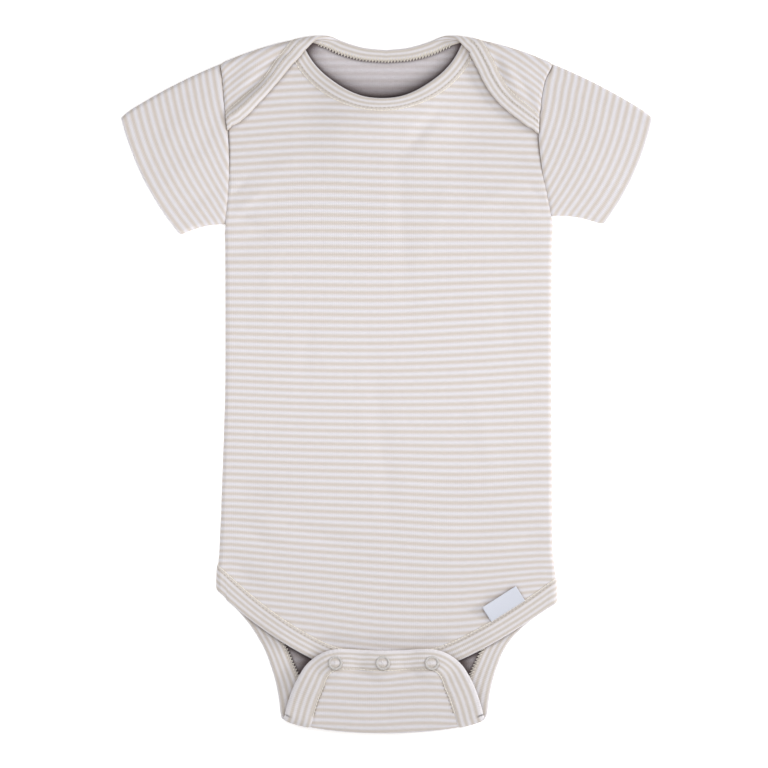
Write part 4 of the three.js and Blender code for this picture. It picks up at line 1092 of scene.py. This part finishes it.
def tail_seam():
    """The seam of the back's leg band, from the left hip round the tail to the right hip."""
    corner_runs, insets = corner_rows(TAIL_CORNER, 0.0)
    runs = np.arange(TAIL_END + TAIL_CORNER, -110, TAIL_STEP)
    sides = []
    for share in (-1.0, 1.0):
        rows = [tail_place(np.array(share), r, i) for r, i in zip(corner_runs, insets)]
        rows += [tail_place(np.array(share), r, 0.0) for r in [*runs, -110.0]]
        sides.append(np.array(rows, float))
    end = np.array(tail_place(np.linspace(-1, 1, 31)[1:-1], TAIL_END, TAIL_CORNER)).T
    seam = np.concatenate([sides[0][::-1], end, sides[1]])
    return seam[:, 0], seam[:, 1]


back_leg_seam = tail_seam()
TAIL_SPEC = {"width": read(TAIL, "run", "band", back_leg_seam[1]), "sides": back_sides, "turn": -1,
             "lead": leg_lead, "gap": SEAM_GAP, "stripes": ((4.0, 0.0), (4.5, 0.0))}
back_leg_band = binding("back_leg_band_cotton", back_surface, back_leg_seam, TAIL_SPEC, [binding_cotton])
print("leg bands:", triangles(front_leg_band) + triangles(back_leg_band), "triangles")

# %% [markdown]
# The strips are sewn down with a coverstitch: two rows of short stitches on one face, and loops that cross
# between them on the other. Sewing thread is about 0.4 mm thick, and rows that lie side by side on an edge
# are drawn as one thicker row. Each stitch catches the light, so the stitches are real geometry: small
# tubes, thick in the middle, laid end to end along a line on the binding. Each row is one mesh.

# %% Sewing thread
def cotton_thread(name, colour):
    """Spun cotton sewing thread, slightly glossy from its finish, with the twist as a bump."""
    material, tree, output = new_material(name)
    uv = node(tree, "ShaderNodeUVMap", uv_map="cloth")
    twist = node(tree, "ShaderNodeTexWave", {"Vector": uv.outputs["UV"], "Scale": 1.4, "Distortion": 0.5},
                 bands_direction="DIAGONAL")
    bump = node(tree, "ShaderNodeBump", {
        "Strength": 0.4, "Distance": 0.03 * MM, "Height": twist.outputs["Fac"]})
    shade = node(tree, "ShaderNodeMapRange", {"Value": twist.outputs["Fac"], "To Min": 0.9, "To Max": 1.0})
    tinted = node(tree, "ShaderNodeVectorMath", {0: linear(colour)[:3], 1: shade.outputs["Result"]},
                  operation="MULTIPLY")
    thread = node(tree, "ShaderNodeBsdfPrincipled", {
        "Base Color": tinted.outputs["Vector"], "Roughness": 0.7, "IOR": 1.5, "Sheen Weight": 0.15,
        "Normal": bump.outputs["Normal"]})
    tree.links.new(thread.outputs["BSDF"], output.inputs["Surface"])
    return material


cream_thread = cotton_thread("cream_cotton_thread", "#ECE5DA")
grey_thread = cotton_thread("grey_cotton_thread", "#BFB6AD")
pale_thread = cotton_thread("pale_cotton_thread", "#DAD3CB")

SIDES, RINGS = 6, 6


def stitches(name, starts, ends, ups, radius, material, arch=0.12):
    """One mesh of stitches, each a small closed tube from a start to an end that arches along ups."""
    along = ends - starts
    length = np.linalg.norm(along, axis=-1, keepdims=True)
    along = along / length
    across = np.cross(along, ups)
    across /= np.linalg.norm(across, axis=-1, keepdims=True)
    up = np.cross(across, along)
    t = np.linspace(0, 1, RINGS)
    fat = radius * (0.35 + 0.65 * np.sqrt(np.sin(math.pi * np.clip(t, 0.02, 0.98))))
    turn = np.arange(SIDES) * 2 * math.pi / SIDES
    centre = (starts[:, None] + along[:, None] * (t[None, :, None] * length[:, None])
              + up[:, None] * (arch * np.sin(math.pi * t))[None, :, None])
    ring = (across[:, None, None] * np.cos(turn)[None, None, :, None]
            + up[:, None, None] * np.sin(turn)[None, None, :, None])
    points = centre[:, :, None] + ring * fat[None, :, None, None]
    one = grid_faces(RINGS, SIDES)[:, TURNED]
    end = (RINGS - 1) * SIDES
    cap = np.array([[0, 1, 2, 3], [0, 3, 4, 5]])
    one = np.concatenate([one, cap, cap[:, ::-1] + end])
    faces = (np.arange(len(starts))[:, None, None] * RINGS * SIDES + one[None]).reshape(-1, 4)
    uv = np.stack(np.broadcast_arrays(t[None, :, None] * length[:, :, None], turn[None, None, :] / 2), -1)
    uv = np.broadcast_to(uv, (len(starts), RINGS, SIDES, 2))
    return make_piece(name, points.reshape(-1, 3), faces, uv.reshape(-1, 2)[faces.ravel()], [material])


def even_places(points, ups, pitch, offset=0.0):
    """Places at an even pitch along a line of points, with their up directions."""
    gone = np.concatenate([[0], np.cumsum(np.linalg.norm(np.diff(points, axis=0), axis=-1))])
    at = np.arange(offset, gone[-1], pitch)
    return (np.stack([np.interp(at, gone, points[:, k]) for k in range(3)], -1),
            np.stack([np.interp(at, gone, ups[:, k]) for k in range(3)], -1))


def line_on(surface, seam, spec, share, face, keep=None):
    """A line on one face of a binding at a share of its width. face is 1 on the normal's side, else -1."""
    middle, normal, (above, below) = lay_strip(
        surface, *seam, spec["width"], spec["sides"], spec["turn"], spec["lead"], spec.get("gap", 0.0),
        np.array([share]))
    edge = np.clip(min(share, 1 - share) / ROUND_SHARE, 0, 1)
    up = max(0.06, 0.5 * math.sqrt(1 - (1 - edge) ** 2)) if 0 <= share <= 1 else 0.3
    height = mix(-below, above, 0.5 + face * up)
    points, ups = (middle + normal * height[..., None])[:, 0], face * normal[:, 0]
    return (points, ups) if keep is None else (points[keep], ups[keep])


def row_of_stitches(name, line, pitch, length, radius, material, sink=0.0):
    """Straight stitches along a line."""
    starts, ups = even_places(*line, pitch)
    ends, _ = even_places(*line, pitch, length)
    count = min(len(starts), len(ends))
    starts, ends, ups = starts[:count], ends[:count], ups[:count]
    return stitches(name, starts - ups * sink, ends - ups * sink, ups, radius, material)


def crossing_loops(name, line_a, line_b, pitch, radius, material):
    """The looper thread: it crosses from one line to the other and back."""
    a, ups_a = even_places(*line_a, pitch)
    b, ups_b = even_places(*line_b, pitch, pitch / 2)
    count = min(len(a), len(b))
    a, b, ups_a, ups_b = a[:count], b[:count], ups_a[:count], ups_b[:count]
    starts = np.concatenate([a, b[:-1]])
    ends = np.concatenate([b, a[1:]])
    return stitches(name, starts, ends, np.concatenate([ups_a, ups_b[:-1]]), radius, material, arch=0.16)


sewn = {}
sewn["front_neck"] = [
    row_of_stitches("front_neck_edge_thread", line_on(front_surface, neck_seam, NECK_SPEC, 0.02, 1),
                    2.1, 2.3, 0.42, cream_thread),
    row_of_stitches("front_neck_needle_row", line_on(front_surface, neck_seam, NECK_SPEC, 0.2, 1),
                    2.5, 1.5, 0.2, grey_thread, sink=0.05),
]
on_back_neck = np.abs(lap_seam[0]) < 41
on_laps = np.abs(lap_seam[0]) > 52
sewn["back_neck"] = [
    crossing_loops("back_neck_loops", line_on(back_surface, lap_seam, LAP_SPEC, -0.14, 1, on_back_neck),
                   line_on(back_surface, lap_seam, LAP_SPEC, 0.3, 1, on_back_neck), 1.9, 0.22, cream_thread),
]
for side, sign in (("left", -1), ("right", 1)):
    keep = on_laps & (lap_seam[0] * sign > 0)
    sewn["back_neck"] += [
        crossing_loops(f"lap_loops_{side}", line_on(back_surface, lap_seam, LAP_SPEC, 0.34, -1, keep),
                       line_on(back_surface, lap_seam, LAP_SPEC, 0.44, -1, keep), 2.1, 0.2, pale_thread),
        row_of_stitches(f"lap_edge_thread_{side}", line_on(back_surface, lap_seam, LAP_SPEC, 0.03, -1, keep),
                        2.1, 2.3, 0.34, cream_thread),
    ]
sewn["front_leg"] = [
    row_of_stitches("front_leg_edge_thread", line_on(front_surface, leg_seam, LEG_SPEC, 0.02, 1),
                    2.1, 2.3, 0.4, cream_thread),
    row_of_stitches("front_leg_needle_row", line_on(front_surface, leg_seam, LEG_SPEC, 0.13, 1),
                    2.5, 1.5, 0.2, grey_thread, sink=0.05),
]
on_tail = back_leg_seam[1] < -220
sewn["back_leg"] = [
    row_of_stitches("tail_edge_thread", line_on(back_surface, back_leg_seam, TAIL_SPEC, 0.03, -1, on_tail),
                    2.1, 2.3, 0.34, cream_thread),
]
for side, sign in (("left", -1), ("right", 1)):
    this_side = back_leg_seam[0] * sign > 0
    beside_tail = this_side & (back_leg_seam[1] < -222) & (back_leg_seam[1] > -240)
    in_opening = this_side & (back_leg_seam[1] < -132) & (back_leg_seam[1] > -204)
    # The tail's needle rows are real stitches, sunk and in grey thread, whose darkness also paints the shade
    # of the needle holes beside the seam.
    sewn["back_leg"] += [
        row_of_stitches(f"tail_needle_shade_row_{side}",
                        line_on(back_surface, back_leg_seam, TAIL_SPEC, -0.02, -1, beside_tail),
                        2.4, 1.2, 0.24, grey_thread, sink=0.1),
        crossing_loops(f"back_leg_loops_{side}",
                       line_on(back_surface, back_leg_seam, TAIL_SPEC, -0.07, 1, in_opening),
                       line_on(back_surface, back_leg_seam, TAIL_SPEC, 0.12, 1, in_opening), 1.9, 0.2,
                       cream_thread),
    ]
print("stitch meshes:", sum(len(v) for v in sewn.values()))

# %% [markdown]
# A ring snap is pressed through the cloth in two halves. What shows is the upper half: an open ring of
# white acetal resin with a round rim and small dimples where its prongs were closed, and in its middle the
# cloth itself, pushed up by the stud below. Moulded acetal has an IOR of 1.48, lets a little light in, and
# has a smooth, slightly waxy gloss. The pull of the tail sinks the ring's upper edge into the cloth.

# %% Snaps
RING_PROFILE = {  # once round the ring's section, in millimetres
    "radius": [2.85, 2.95, 3.2, 3.6, 4.0, 4.25, 4.35, 4.2, 3.6, 3.0],
    "height": [-0.05, 0.18, 0.36, 0.44, 0.36, 0.18, -0.1, -0.3, -0.35, -0.3],
}
RING_STEPS, DIMPLES, DIMPLE_DEEP = 84, 14, 0.12
RING_TILT = math.radians(9)
RING_STANDS = 0.25  # how far the ring's centre stands above the band
DOME = {"radius": 3.0, "rise": 0.25, "ridge": 0.24}


def acetal(name, colour):
    material, tree, output = new_material(name)
    coordinates = node(tree, "ShaderNodeTexCoord")
    flow = node(tree, "ShaderNodeTexNoise", {"Vector": coordinates.outputs["Object"], "Scale": 900.0})
    gloss = node(tree, "ShaderNodeMapRange", {"Value": flow.outputs["Fac"], "To Min": 0.28, "To Max": 0.42})
    bump = node(tree, "ShaderNodeBump", {
        "Strength": 0.15, "Distance": 0.02 * MM, "Height": flow.outputs["Fac"]})
    resin = node(tree, "ShaderNodeBsdfPrincipled", {
        "Base Color": linear(colour), "IOR": 1.48, "Subsurface Weight": 0.3, "Subsurface Scale": 0.001,
        "Subsurface Radius": (1.0, 1.0, 1.0), "Roughness": gloss.outputs["Result"],
        "Normal": bump.outputs["Normal"]})
    tree.links.new(resin.outputs["BSDF"], output.inputs["Surface"])
    return material


snap_resin = acetal("white_acetal_moulded", "#C3BFBC")


def tilted(points, place):
    """Points of a snap, tilted so that its upper edge sinks, and moved to their place."""
    x, y, z = points[..., 0], points[..., 1], points[..., 2]
    return np.stack([x, y * math.cos(RING_TILT) + z * math.sin(RING_TILT),
                     z * math.cos(RING_TILT) - y * math.sin(RING_TILT)], -1) + place


def snap_ring(name, place):
    """The ring: its section turned once round, with dimples on its crest."""
    radius, height = np.array(RING_PROFILE["radius"]), np.array(RING_PROFILE["height"])
    angle = (np.arange(RING_STEPS) * 2 * math.pi / RING_STEPS)[:, None]
    dimpled = height - DIMPLE_DEEP * ease(height / 0.5) * (0.5 + 0.5 * np.cos(DIMPLES * angle))
    points = np.stack([radius * np.cos(angle), radius * np.sin(angle), dimpled], -1)
    rows, count = points.shape[:2]
    i, j = np.meshgrid(np.arange(rows), np.arange(count), indexing="ij")
    i, j = i.ravel(), j.ravel()
    n, k = (i + 1) % rows, (j + 1) % count
    faces = np.stack([i * count + j, i * count + k, n * count + k, n * count + j], -1)[:, ::-1]
    uv = np.stack([i * 1.0, j * 1.0], -1)[faces.ravel()]
    return make_piece(name, tilted(points.reshape(-1, 3), place), faces, uv, [snap_resin])


def cloth_dome(name, place, lean):
    """The cloth inside a ring, pushed up by the stud, with the bent ridge that the stud's spring leaves."""
    shares, angle = np.linspace(0, 1, 15)[:, None], (np.arange(48) * 2 * math.pi / 48)[None, :]
    x, y = DOME["radius"] * shares * np.cos(angle), DOME["radius"] * shares * np.sin(angle)
    along, aside = x * math.cos(lean) + y * math.sin(lean), y * math.cos(lean) - x * math.sin(lean)
    ridge = np.exp(-(((aside - 0.55 * np.sin(1.9 * along)) / 0.42) ** 2) - (along / 1.7) ** 2)
    top = np.stack([x, y, DOME["rise"] * (1 - shares**2) + DOME["ridge"] * ridge - 0.1], -1)
    under = np.stack([x, y, 0 * x - 0.5], -1)
    uv = np.stack([x, y / STRIPE], -1)
    cottons = [binding_cotton, binding_cotton]
    return wall(name, tilted(top, place), tilted(under, place), uv, uv, cottons, ring=True)


snap_caps, snap_studs = [], []
for k, x in enumerate(SNAP_AT["x"]):
    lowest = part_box(f"snap_cap_{k + 1}")[0]
    place = np.array([x, SNAP_AT["y"], lowest.z / MM + RING_STANDS])
    ring = snap_ring(f"snap_ring_{k + 1}", place)
    dome = cloth_dome(f"snap_dome_{k + 1}", place, 0.9 + 0.8 * k)
    snap_caps.append((ring, dome))
    snap_studs.append(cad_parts[f"snap_stud_{k + 1}"])
for stud in snap_studs:
    stud.data.materials.clear()
    stud.data.materials.append(snap_resin)
print("snaps:", len(snap_caps))

# %% [markdown]
# The side label is a loop of white woven satin, folded in half and caught in the leg seam. It is left
# blank. Satin floats its warp threads over several weft threads, so it is smoother and shinier than the
# jersey, along the threads. The loop is one ribbon: up the back, round the fold, and down the front.

# %% Label
LABEL = {"from_x": 62.4, "to_x": 82.6, "depth": 9.6, "wall": 0.3, "apart": 0.35, "lift": 0.5, "curl": 1.7}


def woven_satin(name, colour):
    material, tree, output = new_material(name)
    uv = node(tree, "ShaderNodeUVMap", uv_map="cloth")
    threads = node(tree, "ShaderNodeTexWave", {
        "Vector": uv.outputs["UV"], "Scale": 0.8, "Distortion": 0.3}, bands_direction="X")
    floats = node(tree, "ShaderNodeTexBrick", {
        "Vector": uv.outputs["UV"], "Scale": 1.0, "Brick Width": 1.2, "Row Height": 0.35,
        "Mortar Size": 0.04, "Color1": linear("#FFFFFF"), "Color2": linear("#E8E8E8"),
        "Mortar": linear("#9A9A9A")})
    woven = node(tree, "ShaderNodeMix", {"Factor": 0.5, 2: threads.outputs["Fac"], 3: floats.outputs["Fac"]})
    bump = node(tree, "ShaderNodeBump", {"Strength": 0.35, "Distance": 0.05 * MM, "Height": woven.outputs[0]})
    shade = node(tree, "ShaderNodeMapRange", {
        "Value": threads.outputs["Fac"], "To Min": 0.95, "To Max": 1.02})
    tinted = node(tree, "ShaderNodeVectorMath", {0: linear(colour)[:3], 1: shade.outputs["Result"]},
                  operation="MULTIPLY")
    satin = node(tree, "ShaderNodeBsdfPrincipled", {
        "Base Color": tinted.outputs["Vector"], "Roughness": 0.42, "IOR": 1.54, "Sheen Weight": 0.2,
        "Anisotropic": 0.4, "Normal": bump.outputs["Normal"]})
    tree.links.new(satin.outputs["BSDF"], output.inputs["Surface"])
    return material


label_satin = woven_satin("white_woven_satin", "#CFD2DD")


def side_label():
    """A ribbon whose middle line runs up the lower layer, round the fold and down the upper one."""
    columns = np.linspace(0, 1, 41)
    x0, x1 = LABEL["from_x"], LABEL["to_x"]
    y0, y1 = float(front_leg_seam(np.array(x0))), float(front_leg_seam(np.array(x1)))
    slope = (y1 - y0) / (x1 - x0)
    size = math.hypot(1, slope)
    bend = LABEL["apart"] / 2
    turns = np.linspace(-QUARTER, QUARTER, 9)
    flats = np.linspace(-0.6, LABEL["depth"] - bend, 22)
    up = np.concatenate([flats, flats[-1] + bend * np.cos(turns)[1:-1], flats[::-1]])
    level = np.concatenate([0 * flats - bend, bend * np.sin(turns)[1:-1], 0 * flats + bend])
    share, up_grid = np.meshgrid(columns, up)
    level_grid = np.broadcast_to(level[:, None], up_grid.shape)
    x = mix(x0, x1, share) - slope / size * up_grid
    y = mix(y0, y1, share) + up_grid / size + 0.4
    ground = front_surface(x, y)[..., 2] + CLOTH / 2
    rise = LABEL["lift"] * np.clip(up_grid / LABEL["depth"], 0, 1) * (1 + 0.5 * np.sin(3 * share + 0.6))
    rise = rise + LABEL["curl"] * (1 - share) ** 2 * np.clip(up_grid / LABEL["depth"], 0, 1)
    z = ground + 0.5 + rise + level_grid
    middle = np.stack([x, y, z], -1)
    across, along = np.gradient(middle, axis=1), np.gradient(middle, axis=0)
    normal = np.cross(across, along)
    normal /= np.linalg.norm(normal, axis=-1, keepdims=True)
    half = LABEL["wall"] / 2
    gone = np.concatenate([[0], np.cumsum(np.hypot(np.diff(up), np.diff(level)))])
    uv = np.stack(np.broadcast_arrays(share * (x1 - x0) * size, gone[:, None]), -1)
    return wall("side_label_ribbon", middle + normal * half, middle - normal * half, uv, uv,
                [label_satin, label_satin])


label = side_label()
print("label:", triangles(label), "triangles")

# %% [markdown]
# Last, each piece is tied to the frame: it rides on the one body and takes the place of its solid. Every
# panel also prints the area of the cloth built here and the size of the box round it.

# %% Ride and replace
def dress(piece, node_name):
    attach(piece, "root")
    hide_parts(node_name)


def cloth_area(piece):
    """Half of the area of the closed wall, in square metres."""
    return sum(p.area for p in piece.data.polygons) / 2


PANELS = [
    (front_panel, "front_panel", "striped_jersey"),
    (back_panel, "back_panel", "striped_jersey"),
    (sleeves["left"], "sleeve_left", "striped_jersey"),
    (sleeves["right"], "sleeve_right", "striped_jersey"),
    (front_neck_binding, "front_neck_binding", "striped_rib"),
    (back_neck_binding, "back_neck_binding", "striped_rib"),
    (front_leg_band, "front_leg_band", "striped_rib"),
    (back_leg_band, "back_leg_band", "striped_rib"),
    (label, "side_label", "label_satin"),
]
for piece, node_name, slot in PANELS:
    dress(piece, node_name)
    print(piece.name, round(cloth_area(piece), 4), "square metres,", [round(d, 3) for d in piece.dimensions])
for k, (ring, dome) in enumerate(snap_caps):
    dress(ring, f"snap_cap_{k + 1}")
    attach(dome, "root")
for rows in sewn.values():
    for row in rows:
        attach(row, "root")
